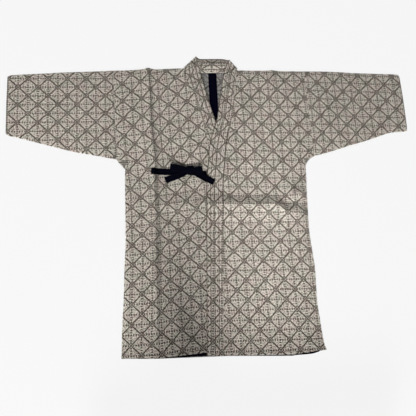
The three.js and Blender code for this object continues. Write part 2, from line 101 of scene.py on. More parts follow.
# Pressed folds and creases that stand up as tents: where each runs, its height, and how far it reaches on
# its near and its far side
PRESS_LINE = {
    "right": table("y x rise", (-446, -194, 2.5), (-330, -192, 5), (-204, -191.5, 8.5), (-60, -189.5, 10.5),
                   (60, -189.5, 10.5), (126, -187, 9.5), (245, -196, 9), (316, -195.5, 7.5),
                   (419, -200.5, 5.5)),
    "left": table("y x rise", (-451, 187, 0), (40, 196, 0.3), (126, 198, 1.8), (348, 189, 2.6),
                  (413, 187, 2.4)),
}
PRESS_REACH = (46, 9)
CROSS_CREASE = table("x y rise", (-278, -2, 0), (-262, -4, 2.4), (-205, -9, 2), (-174, -8, 4),
                     (-42, -13, 6.8), (13, -15, 9.5), (76, -18, 11.6), (151, -19, 12.2), (179, -21, 12.2),
                     (202, -42, 12), (232, -39, 9), (268, -42, 0))
CROSS_REACH = (64, 28)
SIDE_CREASE = table("x y rise", (206, 2, 0), (228, 11, 8), (252, 14, 9), (269, 16, 0))
SIDE_CREASE_REACH = (30, 22)
# Hems and cuffs are folded double: where that ends, in from the edge, and what it adds
HEM_FOLD = (16, 21)
HEM_THICKER = 1.1
CUFF_FOLD = (19, 23)
CUFF_THICKER = 0.9
# The collar band's sewn and free edges, down each front from the neck's fold, and behind the neck
COLLAR = {
    "right": table("seamX seamY freeX freeY",
                   (-85.7, 418.5, -46.7, 455.5), (-84, 396, -40, 420), (-81, 380, -34, 391),
                   (-61, 341, -24, 350), (-50, 293, -14, 304), (-41, 260, -3.6, 266), (-33, 225, 5, 231),
                   (-25, 185, 19, 190), (-17, 140, 30, 143), (-13, 95, 36, 96), (-13, 50, 37, 50),
                   (-18, -148, 31, -148), (-28, -434.5, 21, -434)),
    "left": table("seamX seamY freeX freeY",
                  (77.4, 415.9, 53.4, 445.6), (75, 392, 38, 411), (68, 355, 27.5, 364), (63, 327, 21, 328),
                  (57, 285, 12.6, 283), (52, 250, 5.4, 247), (46, 225, -4.5, 220), (39, 190, -15, 187),
                  (33, 150, -23, 150), (28, 115, -27, 115), (19, 61, -34, 61), (13, -1, -38, -1),
                  (5, -148, -44, -148), (0, -236, -48, -236), (-10, -447, -57, -444)),
}
NECK_BAND = table("seamX seamY freeX freeY",
                  (-70, 411, -38.5, 449.8), (-56, 407, -33, 449), (-36, 405, -24, 449),
                  (0, NECK_BACK, 3, 449.5), (36, 405, 30, 449.6), (52, 407.5, 41, 448.4),
                  (66, 410.5, 49, 446.6))
# Sleeves from the armhole to the cuff: x along the seam under the arm and along the top fold, and their y
SLEEVE = {
    "right": table("x topX top under", (-297.7, -303.2, 410, 128), (-351, -351, 407.5, 139.5),
                   (-415, -415, 405, 152), (-461, -461, 403, 164), (-506, -506, 400, 177),
                   (-552, -552, 397.5, 190), (-592, -590, 395, 201), (-608, -605, 393.5, 205),
                   (-615, -614, 389, 211)),
    "left": table("x topX top under", (301.7, 291.2, 410, 130), (345, 340, 410, 141),
                  (414, 405, 408, 161), (460, 452, 405, 174), (506, 500, 403.5, 188),
                  (560, 552, 402, 204), (592, 585, 401, 206), (608, 602, 400, 208),
                  (611.5, 607, 394, 213)),
}
BACK_HEM = table("x y", (-292, -441), (-197, -446), (-58, -447), (49, -451), (187, -458),
                 (240, -457), (285, -446))
FRONT_HEM = {
    "right": table("x y", (-292, -440.5), (-197, -445), (-28.4, -434.5)),
    "left": table("x y", (-9.6, -447), (187, -454.5), (240, -453.5), (285, -445)),
}

# Soft creases in the upper layer: each is a ridge, or a trough where its rise is below zero
BODY_CREASES = table(
    "x1 y1 x2 y2 rise width",
    (-190, -10, -30, -13, 1.1, 11), (-276, -4, -205, -9, 1.3, 9), (-276, 48, -232, 36, -0.8, 12),
    (-270, -92, -214, -78, -0.7, 16), (-250, -300, -215, -120, 0.7, 22), (-150, 350, -118, 160, 1.1, 26),
    (-150, 60, -120, -60, 0.8, 20), (-116, -120, -92, -440, -1.5, 30), (-280, 190, -214, 330, 0.9, 18),
    (-64, -190, -56, -430, 1, 10), (-128, -230, -122, -440, 0.9, 11),
    (-262, 118, -205, 190, 1.1, 13), (262, 116, 214, 176, 1.3, 12), (288, 190, 232, 300, 0.8, 20),
    (96, 330, 124, 60, 1.2, 30), (150, 300, 168, 110, -0.9, 20), (66, -60, 92, -270, 1.3, 34),
    (272, -62, 232, -52, 1.5, 7), (272, -98, 236, -122, 1.1, 9),
    (276, -160, 244, -210, 0.8, 12), (150, -250, 176, -430, 0.8, 26), (230, -300, 252, -440, 0.9, 20),
    (30, -300, 40, -440, -0.7, 24), (216, 10, 160, 36, 0.8, 14))
SLEEVE_CREASES = {
    "right": table("x1 y1 x2 y2 rise width",
                   (-512, 350, -392, 222, 2.1, 15), (-470, 300, -430, 238, -0.9, 12),
                   (-390, 372, -356, 190, 0.9, 20), (-316, 150, -352, 236, 1.2, 12),
                   (-598, 330, -560, 250, 0.9, 16), (-560, 384, -500, 340, 0.7, 14),
                   (-330, 300, -300, 200, 0.7, 16)),
    "left": table("x1 y1 x2 y2 rise width",
                  (318, 150, 372, 232, 1.4, 12), (330, 340, 420, 262, 0.9, 18),
                  (432, 384, 486, 290, -0.9, 20), (470, 196, 560, 236, 1.2, 12),
                  (604, 300, 552, 340, 0.9, 14), (400, 190, 470, 250, 0.8, 14), (470, 194, 610, 222, 2.2, 9)),
}
# Shallow ones in the lower layer, which lies on the surface
UNDER_CREASES = table(
    "x1 y1 x2 y2 rise width",
    (-275, -14, 262, -24, 0.9, 12), (-188, 400, -180, -300, 0.7, 9), (190, 400, 194, -200, 0.6, 9),
    (-262, 116, -206, 196, 0.7, 12), (256, 118, 204, 206, 0.7, 13), (-60, 380, -130, 240, 0.5, 18),
    (70, 378, 132, 230, 0.5, 20), (-100, -430, -120, -250, 0.5, 22), (120, -440, 96, -230, 0.6, 20),
    (-500, 350, -396, 230, 0.7, 14), (-330, 160, -380, 260, 0.6, 14), (340, 170, 404, 260, 0.6, 14),
    (470, 360, 540, 260, 0.6, 16))

# The bow of the outer ties, on the right front. Measured from the left band's edge, a tie climbs onto the
# band over one span, and the band under it comes to its full height over the other
KNOT = dict(x=-82, y=88.5, wide=24, long=30, high=9.6)
LAYER_STEP = TIE + 0.4
TIE_CLEARANCE = 0.8
CLIMBS_BAND = (-12, -2)
ONTO_BAND = (0, 14)

# The woven lattice: one repeat of its diamonds, and where its columns and rows run on each piece.
# A rise is how far a row climbs in one repeat toward +X.
REPEAT = 56.7
WEAVE_FRONT = {
    "right": dict(
        side_columns=table("y x", (-403, -208.5), (-290, -204), (-235, -202), (-180, -199), (-20, -200),
                           (43, -202), (98, -208), (152, -212), (208, -217), (320, -220), (375, -221)),
        columns=table("y x", (-394, -95), (-225, -94), (-112, -93.5), (-1, -97), (55, -99.5), (110, -103.5),
                      (162, -106.5), (220, -109), (276, -110), (332, -111.5), (388, -114)),
        side_rows=table("y row", (-406.5, -14), (-238, -11), (-70, -8), (95, -5), (204.7, -3), (372.4, 0)),
        rows=table("y row", (-396.5, -14), (-226.4, -11), (-59, -8), (106.5, -5), (217.8, -3), (386.8, 0)),
        side_rise=table("y rise", (-405, 1), (-180, 2), (43, 3), (208, 5), (375, 7)),
        rise=table("y rise", (-396, 5), (-57, 6), (110, 8), (276, 10), (389, 12)),
        column=2,
    ),
    "left": dict(
        columns=table("y x", (-354, 126), (-239, 122.7), (-126, 119), (-70, 118), (95, 115.5),
                      (153, 117), (211, 117.5), (322, 115.7), (379, 115)),
        rows=table("y row", (-383, -13.5), (-241, -11), (-128.5, -9), (-72.5, -8), (-43.8, -7.5),
                   (-16.9, -7), (8.6, -6.5), (36, -6), (63.4, -5.5), (91, -5), (206.8, -3), (318.2, -1),
                   (374.1, 0)),
        rise=table("y rise", (-383, -1.2), (-70, -0.6), (95, -1), (211, -1.2), (379, 1)),
        column=0,
    ),
}
WEAVE_SLEEVE = {
    "right": dict(columns=table("x column", (-582.7, -2), (-524.7, -1), (-467.2, 0), (-411.7, 1),
                                (-355.7, 2)),
                  rows=table("y row", (244.3, -2), (299, -1), (354.7, 0)), rise=0, lean=0,
                  reference=-467.2, level=355),
    "left": dict(columns=table("x column", (331, -1), (385.5, 0), (440, 1), (495, 2), (551.5, 3)),
                 rows=table("y row", (258.6, -2), (314.2, -1), (370, 0)), rise=-1.8, lean=0.02,
                 reference=385.5, level=370),
}

# Courses through the tables

class Course:
    """A smooth course through one column of a table that never swings past its rows."""

    def __init__(self, rows, key, column, runs_on=False):
        rows = sorted(rows, key=lambda row: row[key])
        self.keys = [row[key] for row in rows]
        self.values = [row[column] for row in rows]
        self.runs_on = runs_on
        spans = zip(self.keys, self.keys[1:], self.values, self.values[1:])
        steps = [(v2 - v1) / (k2 - k1) for k1, k2, v1, v2 in spans]
        inner = [0 if a * b <= 0 else 2 * a * b / (a + b) for a, b in zip(steps, steps[1:])]
        self.slopes = [steps[0], *inner, steps[-1]]

    def __call__(self, value):
        first, last = self.keys[0], self.keys[-1]
        if not first <= value <= last:
            end = 0 if value < first else -1
            beyond = value - self.keys[end] if self.runs_on else 0
            return self.values[end] + self.slopes[end] * beyond
        i = min(bisect_right(self.keys, value) - 1, len(self.keys) - 2)
        width = self.keys[i + 1] - self.keys[i]
        t = (value - self.keys[i]) / width
        rise = self.values[i + 1] - self.values[i]
        start, stop = self.slopes[i] * width, self.slopes[i + 1] * width
        bend = 3 * rise - 2 * start - stop + t * (start + stop - 2 * rise)
        return self.values[i] + t * start + t * t * bend


def mix(a, b, share):
    return a + (b - a) * share


def ease(span, value):
    """Rises softly from 0 at the start of a span to 1 at its end."""
    t = min(max((value - span[0]) / (span[1] - span[0]), 0), 1)
    return t * t * (3 - 2 * t)


def spread(start, stop, count):
    """Even places from start to stop, without the stop."""
    return [mix(start, stop, step / count) for step in range(count)]


side_x = {side: Course(SIDE[side], "y", "x") for side in SIDE}
armhole_x = {side: Course(ARMHOLE[side], "y", "x") for side in ARMHOLE}
press_x = {side: Course(PRESS_LINE[side], "y", "x") for side in PRESS_LINE}
press_rise = {side: Course(PRESS_LINE[side], "y", "rise") for side in PRESS_LINE}
shoulder_y = {side: Course(SHOULDER[side], "across", "y") for side in SHOULDER}
crease_y = Course(CROSS_CREASE, "x", "y")
crease_rise = Course(CROSS_CREASE, "x", "rise")
side_crease_y = Course(SIDE_CREASE, "x", "y")
side_crease_rise = Course(SIDE_CREASE, "x", "rise")
seam_x = {side: Course(COLLAR[side], "seamY", "seamX") for side in COLLAR}
edge_x = {side: Course(COLLAR[side], "freeY", "freeX") for side in COLLAR}
free_x = {side: Course(COLLAR[side], "seamY", "freeX") for side in COLLAR}
free_y = {side: Course(COLLAR[side], "seamY", "freeY") for side in COLLAR}
back_hem = Course(BACK_HEM, "x", "y")
front_hem = {side: Course(FRONT_HEM[side], "x", "y") for side in FRONT_HEM}


def outer_x(side, y):
    """The outer edge of a half: its side, then the step of the gusset's seam, then the armhole."""
    if y >= ARMHOLE_FOOT:
        return armhole_x[side](y)
    if y <= GUSSET_TOP:
        return side_x[side](y)
    share = (y - GUSSET_TOP) / (ARMHOLE_FOOT - GUSSET_TOP)
    return mix(side_x[side](GUSSET_TOP), armhole_x[side](ARMHOLE_FOOT), share)


# Heights of the layers

# How round a pressed fold's crest is, and how its near and its far side run out into the cloth
CREST = 1.6
TENT_FOOT = (1.6, 1.05)
# A soft crease: how far it bows in its length, how full it swells, how fast it falls off and how far out
CREASE_BOW = 0.05
CREASE_SWELL = 0.7
CREASE_FALL = 2.2
CREASE_END = 1.6
RIPPLES = table("across along seed high", (75, 95, 0.4, 0.75), (24, 30, 7.7, 0.22))


def ridge(distance, rise, reaches):
    """A pressed fold stands up as a tent, steeper on its far side, with a slightly rounded crest."""
    far = distance > 0
    from_crest = math.hypot(distance, CREST) - CREST
    return rise * max(0, 1 - from_crest / reaches[far]) ** TENT_FOOT[far]


def soft_creases(creases, x, y):
    """The height that a table of creases adds at a place. Each swells from its ends to its middle."""
    total = 0
    for crease in creases:
        dx, dy = crease["x2"] - crease["x1"], crease["y2"] - crease["y1"]
        length = math.hypot(dx, dy)
        along = ((x - crease["x1"]) * dx + (y - crease["y1"]) * dy) / length
        if not 0 < along < length:
            continue
        fullness = math.sin(math.pi * along / length)
        bow = CREASE_BOW * length * fullness
        across = abs(((x - crease["x1"]) * dy - (y - crease["y1"]) * dx) / length - bow) / crease["width"]
        if across < CREASE_END:
            swell = fullness ** CREASE_SWELL
            total += crease["rise"] * swell * math.exp(-CREASE_FALL * across * across)
    return total


def ripple(x, y):
    """Unevenness of cloth that has been handled: wide and shallow, with a little that is finer."""
    return sum(wave["high"] * noise.noise(Vector((x / wave["across"], y / wave["along"], wave["seed"])))
               for wave in RIPPLES)


def resting_height(distance):
    """Underside of the upper layer, at a distance from the nearest fold or seam that closes it."""
    return CLOTH + PRESSED + AIR * (1 - math.exp(-max(distance, 0) / AIR_REACH))


INTERIOR = CLOTH + PRESSED + AIR
LAP_HEIGHT = INTERIOR + BAND + LAP_CLEARANCE
NECK_HEIGHT = BAND + PRESSED
# Where creases fade out, in from the shoulder and the side. Beside the sleeve, nothing holds them down
SHOULDER_FADE = (4, 42)
SIDE_FADE = (0, 9)


def body_rumple(side, x, y):
    """Creases and ripples of the upper layer, which die away where a seam or fold holds it down."""
    inward = abs(side_x[side](y)) - abs(x) if y < GUSSET_TOP else SIDE_FADE[1]
    below_shoulder = shoulder_y[side](abs(x)) - y
    held = ease(SHOULDER_FADE, below_shoulder) * ease(SIDE_FADE, inward)
    crossing = ridge(y - crease_y(x), crease_rise(x), CROSS_REACH)
    crossing = max(crossing, ridge(y - side_crease_y(x), side_crease_rise(x), SIDE_CREASE_REACH))
    return held * (soft_creases(BODY_CREASES, x, y) + ripple(x, y) + crossing)


def front_height(side, x, y):
    """Underside of a front."""
    inward = max(abs(side_x[side](y)) - abs(x), 0)
    to_side = math.hypot(inward, max(y - GUSSET_TOP, 0))
    distance = min(to_side, shoulder_y[side](abs(x)) - EDGE_RADIUS - y)
    fold = ridge(x - press_x[side](y), press_rise[side](y), PRESS_REACH)
    hem = HEM_THICKER * (1 - ease(HEM_FOLD, y - front_hem[side](x)))
    resting = resting_height(distance) + fold + hem
    if side == "left":
        collar_edge = max(edge_x["right"](y), seam_x["left"](y))
        lapped = (1 - ease(LAP_ACROSS, x - collar_edge)) * (1 - ease(LAP_UP, y))
        resting = mix(resting, LAP_HEIGHT, lapped)
    return resting + body_rumple(side, x, y)


def right_collar_height(x, y):
    """Underside of the band on the right, which lies on the lower layer and comes down at the neck."""
    lying = mix(INTERIOR, NECK_HEIGHT, ease(COLLAR_TO_NECK, y))
    return lying + body_rumple("right", x, y) * (1 - ease(COLLAR_TO_NECK, y))


def left_collar_height(x, y, toward_free):
    """Underside of the band on the left, which lies on the right front, then on its band, then beside it."""
    on_front = INTERIOR + CLOTH + LAP_CLEARANCE
    edge = mix(on_front, LAP_HEIGHT, ease(COLLAR_ONTO_COLLAR, y))
    lap = mix(LAP_HEIGHT, edge, toward_free)
    lying = mix(mix(lap, INTERIOR, ease(COLLAR_DOWN, y)), NECK_HEIGHT, ease(COLLAR_TO_NECK, y))
    return lying + body_rumple("left", x, y) * (1 - ease(COLLAR_TO_NECK, y))


def under_height(x, y):
    """Underside of the lower layer: flat, apart from its few shallow creases."""
    return max(soft_creases(UNDER_CREASES, x, y), 0)


# Where a place lies in the weave, as a column and a row of its repeats

def weave_courses(run):
    """A course for each table of a run of weave, through its last column."""
    courses = {}
    for name, rows in run.items():
        if isinstance(rows, list):
            key, column = rows[0]
            courses[name] = Course(rows, key, column, runs_on=column in ("row", "column"))
    return courses


weave_front = {side: weave_courses(run) for side, run in WEAVE_FRONT.items()}
weave_sleeve = {side: weave_courses(run) for side, run in WEAVE_SLEEVE.items()}
# The span across the pressed fold over which the weave shifts
FOLD_TAKE_UP = (-4, 24)


def lattice(run, prefix, column, x, y):
    """Column and row of a place, measured from the one column that the run follows."""
    from_column = x - run[prefix + "columns"](y)
    level = y - run[prefix + "rise"](y) * from_column / REPEAT
    return column + from_column / REPEAT, run[prefix + "rows"](level)


def front_weave(side, x, y):
    """The right half takes up some cloth in its pressed fold, so its weave shifts across the line."""
    run = weave_front[side]
    main = lattice(run, "", WEAVE_FRONT[side]["column"], x, y)
    if side == "left":
        return main
    outside = lattice(run, "side_", 0, x, y)
    beyond = ease(FOLD_TAKE_UP, x - press_x[side](y))
    return mix(outside[0], main[0], beyond), mix(outside[1], main[1], beyond)


def sleeve_weave(side, x, y):
    """A sleeve's rows climb evenly along it, and its columns lean."""
    run = WEAVE_SLEEVE[side]
    level = y - run["rise"] * (x - run["reference"]) / REPEAT
    column = weave_sleeve[side]["columns"](x + run["lean"] * (y - run["level"]))
    return column, weave_sleeve[side]["rows"](level)


# Making sheets of cloth

def put(name, data):
    """A new object in the scene, at the origin."""
    thing = bpy.data.objects.new(name, data)
    bpy.context.scene.collection.objects.link(thing)
    return thing


def finish_mesh(name, bm, materials):
    """Turns a mesh made in millimetres into an object at the origin, in metres, and lets it ride."""
    bmesh.ops.scale(bm, vec=Vector((MM, MM, MM)), verts=bm.verts)
    mesh = bpy.data.meshes.new(name)
    bm.to_mesh(mesh)
    bm.free()
    for polygon in mesh.polygons:
        polygon.use_smooth = True
    for material in materials:
        mesh.materials.append(material)
    piece = put(name, mesh)
    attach(piece, "root")
    return piece


def outward(bm):
    """Turns the faces so that the piece's outer side looks up where it is highest."""
    bm.normal_update()
    top = max(bm.faces, key=lambda face: face.calc_center_median().z)
    if top.normal.z < 0:
        bmesh.ops.reverse_faces(bm, faces=bm.faces)


def give_wall(piece, thick, offset=-1, rounding=0.35, segments=2, inside=0):
    """A wall with rounded rims. The inner face may have the material of the cloth's wrong side."""
    wall = piece.modifiers.new("wall", "SOLIDIFY")
    wall.thickness = thick * MM
    wall.offset = offset
    wall.material_offset = inside
    rim = piece.modifiers.new("rim", "BEVEL")
    rim.affect = "EDGES"
    rim.profile = 0.5
    rim.material = -1
    rim.width = rounding * MM
    rim.segments = segments
    rim.limit_method = "ANGLE"
    rim.angle_limit = math.radians(50)
    return piece


def stand_for(piece, node):
    """The piece takes the place of a solid of the frame, which is hidden."""
    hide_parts(node)
    return piece


def lay_sheet(name, columns, rows, place, materials):
    """A sheet from a grid. place(column, row) gives a point, its place in the weave and its distances
    from the edges that are stitched, all of which follow the surface."""
    bm = bmesh.new()
    bmesh.ops.create_grid(bm, x_segments=columns, y_segments=rows, size=1)
    spots = []
    for vertex in bm.verts:
        column = round((vertex.co.x + 1) / 2 * columns)
        row = round((vertex.co.y + 1) / 2 * rows)
        point, weave, edges = place(column, row)
        vertex.co = point
        spots.append((weave, edges))
    bm.verts.index_update()
    weave_map = bm.loops.layers.uv.new("weave")
    edge_map = bm.loops.layers.uv.new("edges")
    for face in bm.faces:
        for corner in face.loops:
            weave, edges = spots[corner.vert.index]
            corner[weave_map].uv = weave
            corner[edge_map].uv = edges
    outward(bm)
    return finish_mesh(name, bm, materials)


# Body halves

# Columns of a half: this share of the middle ones is inside its pressed fold, and those beside an edge or
# the fold stand these distances from it
PRESS_SHARE = 0.66
PRESS_COLUMNS = [12, 9, 6.5, 4.5, 3, 1.5]
INNER_COLUMNS = [0, 0.35, 1, 2.2]
OUTER_COLUMNS = [3.4, 1.75, 1.1, 0.6, 0.25, 0.06, 0]
MIDDLE_COLUMNS = 62
FRONT_ROWS = 206
FOLD_ROWS = 8
NECK_ROWS = 16
NECK_DROP = 2.4
BACK_ROWS = 190
# The groove at a seam, and how nearly the two layers meet where an edge is rolled
GROOVE = 0.7
GROOVE_REACH = 1.6
ROLL_SHARE = 0.985
SIDE_SEAM_TOP = (GUSSET_FOOT - 3, GUSSET_FOOT + 3)
RIM_FADE = (0, 8)
# A distance in mm past every row of sewing of the body, for places that have none
UNSEWN = 200


def across_places(inner, press, outer, toward):
    """Places across a row, close together where its edges are rolled, with one on the pressed fold."""
    first, last = INNER_COLUMNS[-1], OUTER_COLUMNS[0]
    to_press = round(MIDDLE_COLUMNS * PRESS_SHARE)
    xs = [inner + toward * step for step in INNER_COLUMNS[:-1]]
    xs += spread(inner + toward * first, press - toward * PRESS_COLUMNS[0], to_press)
    xs += [press - toward * step for step in PRESS_COLUMNS]
    xs += spread(press, outer - toward * last, MIDDLE_COLUMNS - to_press)
    xs += [outer - toward * step for step in OUTER_COLUMNS]
    return xs


def rolled(distance, closed):
    """How far an edge drops: right round where the layers close on each other, else into a groove."""
    inside = max(EDGE_RADIUS - distance, 0)
    round_over = EDGE_RADIUS - math.sqrt(max(EDGE_RADIUS ** 2 - inside ** 2, 0))
    groove = GROOVE * max(1 - distance / GROOVE_REACH, 0) ** 2
    return mix(groove, round_over * ROLL_SHARE, closed)


def body_rows(side):
    """Every row of a half, from the front hem over the shoulder to the back hem: its inner, pressed and
    outer place, its layer, and its turn where it goes round the shoulder."""
    toward = TOWARD[side]
    neck = COLLAR[side][0]
    top = [neck["seamX"] + toward * SEAM, PRESS_LINE[side][-1]["x"], armhole_x[side](ARMHOLE_HEAD)]
    edges = [shoulder_y[side](abs(x)) for x in top]
    radii = [(front_height(side, x, edge) + CLOTH) / 2 for x, edge in zip(top, edges)]
    tangents = [edge - radius for edge, radius in zip(edges, radii)]
    hem_x = [COLLAR[side][-1]["seamX"] + toward * SEAM, PRESS_LINE[side][0]["x"], SIDE[side][0]["x"]]
    hem_y = [front_hem[side](x) for x in hem_x]
    rows = []
    for step in range(FRONT_ROWS + 1):
        ys = [mix(low, high, step / FRONT_ROWS) for low, high in zip(hem_y, tangents)]
        inner = seam_x[side](ys[0]) + toward * SEAM
        rows.append(("front", [inner, press_x[side](ys[1]), outer_x(side, ys[2])], ys, 0))
    for step in range(1, FOLD_ROWS):
        rows.append(("fold", top, tangents, math.pi * (0.5 - step / FOLD_ROWS)))
    neckline = [(row["seamX"], row["seamY"]) for row in NECK_BAND if row["seamX"] * toward > 0]
    neckline = [(top[0], tangents[0]), *sorted(neckline, key=lambda place: -abs(place[0]))]
    neckline.append((toward * SEAM / 2, NECK_BACK))
    across = Course([dict(x=abs(x), y=y) for x, y in neckline], "x", "y")
    for step in range(NECK_ROWS + 1):
        share = step / NECK_ROWS
        inner = mix(top[0], toward * SEAM / 2, share)
        ys = [across(abs(inner)) - SEAM * share, *(y - NECK_DROP * step for y in tangents[1:])]
        rows.append(("back", [inner, press_x[side](ys[1]), outer_x(side, ys[2])], ys, 0))
    start = rows[-1][2]
    stop = [back_hem(x) for x in (0, *hem_x[1:])]
    for step in range(1, BACK_ROWS + 1):
        ys = [mix(high, low, step / BACK_ROWS) for high, low in zip(start, stop)]
        rows.append(("back", [toward * SEAM / 2, press_x[side](ys[1]), outer_x(side, ys[2])], ys, 0))
    return rows


def add_body_half(side, cloth, wrong_side_painted_shade):
    toward = TOWARD[side]
    rows = []
    for layer, xs, ys, turn in body_rows(side):
        places = across_places(*xs, toward)
        to_press = len(INNER_COLUMNS) - 1 + round(MIDDLE_COLUMNS * PRESS_SHARE) + len(PRESS_COLUMNS)
        rows.append([])
        for column, x in enumerate(places):
            if column <= to_press:
                y = mix(ys[0], ys[1], (x - xs[0]) / (xs[1] - xs[0]))
            else:
                y = mix(ys[1], ys[2], (x - xs[1]) / (xs[2] - xs[1]))
            rows[-1].append((layer, x, y, turn, abs(x - xs[0]), abs(xs[2] - x)))

    def place(column, row):
        layer, x, y, turn, from_inner, from_outer = rows[row][column]
        edge = shoulder_y[side](abs(x))
        closed = 1 - ease(SIDE_SEAM_TOP, y)
        dip = rolled(from_outer, closed)
        hem = front_hem[side](x) if layer == "front" else back_hem(x)
        edges = (from_outer if y < GUSSET_TOP else UNSEWN, y - hem)
        if layer == "front":
            z = front_height(side, x, y) + CLOTH - dip - rolled(from_inner, 0)
            return Vector((x, y, z)), front_weave(side, x, y), edges
        if layer == "fold":
            radius = (front_height(side, x, edge) + CLOTH) / 2
            bent = Vector((x, edge - radius + radius * math.cos(turn), radius + radius * math.sin(turn)))
            return bent, front_weave(side, x, edge + radius * (math.pi / 2 - turn - 1)), edges
        z = under_height(x, y) * ease(RIM_FADE, from_outer) + dip + rolled(from_inner, 0)
        return Vector((x, y, z)), front_weave(side, x, 2 * edge - y), edges

    piece = lay_sheet(f"body_{side}_cloth", len(rows[0]) - 1, len(rows) - 1, place, [cloth, wrong_side_painted_shade])
    return stand_for(give_wall(piece, CLOTH, inside=1), f"body_{side}")


# Sleeves

SLEEVE_ROWS = 74
SLEEVE_COLUMNS = 52
ROUND_TURNS = 5
CUFF_EDGE = 6
CUFF_ROWS = 8
# The air in a sleeve opens more slowly than in the body
SLEEVE_SLACK = 0.6
# Where creases fade out, in from a sleeve's long edges and out from its armhole
SLEEVE_FADE = {"upper": ((0, 30), (0, 16)), "lower": ((0, 20), (0, 12))}


def sleeve_ring():
    """Places round a sleeve from its seam: up its front, over the top fold, and back underneath."""
    quarter = [math.pi / 2 * step / ROUND_TURNS for step in range(ROUND_TURNS)]
    shares = [step / SLEEVE_COLUMNS for step in range(SLEEVE_COLUMNS + 1)]
    ring = [("under_arm", math.pi - turn) for turn in quarter]
    ring += [("upper", share) for share in shares]
    ring += [("top", turn) for turn in (math.pi / 2 - step for step in quarter[1:])]
    ring += [("top", -turn) for turn in quarter]
    ring += [("lower", share) for share in reversed(shares)]
    ring += [("under_arm", -math.pi / 2 - turn) for turn in (*quarter[1:], math.pi / 2)]
    return ring


def add_sleeve(side, cloth, wrong_side_painted_shade):
    toward = TOWARD[side]
    rows = [dict(row, at=abs(row["x"])) for row in SLEEVE[side]]
    tops, folds, unders = (Course(rows, "at", name) for name in ("top", "topX", "under"))
    first, last = rows[0]["at"], rows[-1]["at"]
    to_cuff = last - CUFF_EDGE
    lengthways = [*spread(first, to_cuff, SLEEVE_ROWS), *spread(to_cuff, last, CUFF_ROWS), last]
    ring = sleeve_ring()

    def place_flat(kind, share, at, seam):
        top, under = tops(at), unders(at)
        y = mix(under + EDGE_RADIUS, top - EDGE_RADIUS, share)
        x = mix(toward * at, folds(at), (y - under) / (top - under))
        distance = min(y - under - EDGE_RADIUS, top - EDGE_RADIUS - y)
        from_edge, from_armhole = SLEEVE_FADE[kind]
        held = ease(from_edge, distance) * ease(from_armhole, at - first)
        if kind == "lower":
            z = under_height(x, y) * held + seam
            return Vector((x, y, z)), sleeve_weave(side, x, 2 * top - y), (last - at, y - under)
        lift = held * (soft_creases(SLEEVE_CREASES[side], x, y) + ripple(x, y))
        lift += ease(RIM_FADE, distance) * CUFF_THICKER * (1 - ease(CUFF_FOLD, last - at))
        z = resting_height(distance * SLEEVE_SLACK) + CLOTH + lift - seam
        return Vector((x, y, z)), sleeve_weave(side, x, y), (last - at, y - under)

    def place_round(kind, turn, at, seam):
        top, under = tops(at), unders(at)
        if kind == "top":
            x, centre = folds(at), top - EDGE_RADIUS
            around = centre + EDGE_RADIUS * (math.pi / 2 - turn)
        else:
            x, centre = toward * at, under + EDGE_RADIUS
            around = centre if turn > 0 else 2 * top - centre
        reach = EDGE_RADIUS - seam / 2
        bent = Vector((x, centre + reach * math.cos(turn), EDGE_RADIUS + reach * math.sin(turn)))
        return bent, sleeve_weave(side, x, around), (last - at, bent.y - under if kind == "top" else 0)

    def place(column, row):
        kind, value = ring[column]
        at = lengthways[row]
        lay = place_flat if kind in SLEEVE_FADE else place_round
        return lay(kind, value, at, rolled(at - first, 0))

    piece = lay_sheet(f"sleeve_{side}_cloth", len(ring) - 1, len(lengthways) - 1, place,
                      [cloth, wrong_side_painted_shade])
    return stand_for(give_wall(piece, CLOTH, inside=1), f"sleeve_{side}")


# Gussets: a small square folded corner to corner under each arm

GUSSET_ROWS = 26
GUSSET_END = 0.95
GUSSET_BEND = {"right": (-283, 107), "left": (277, 118)}
GUSSET_SLEEVE_END = {"right": 126.5, "left": 129}
GUSSET_FLAT = 6
GUSSET_TURNS = 10
# Its weave is cut on the slant: this share of a repeat along each of its sides
GUSSET_WEAVE = 0.72


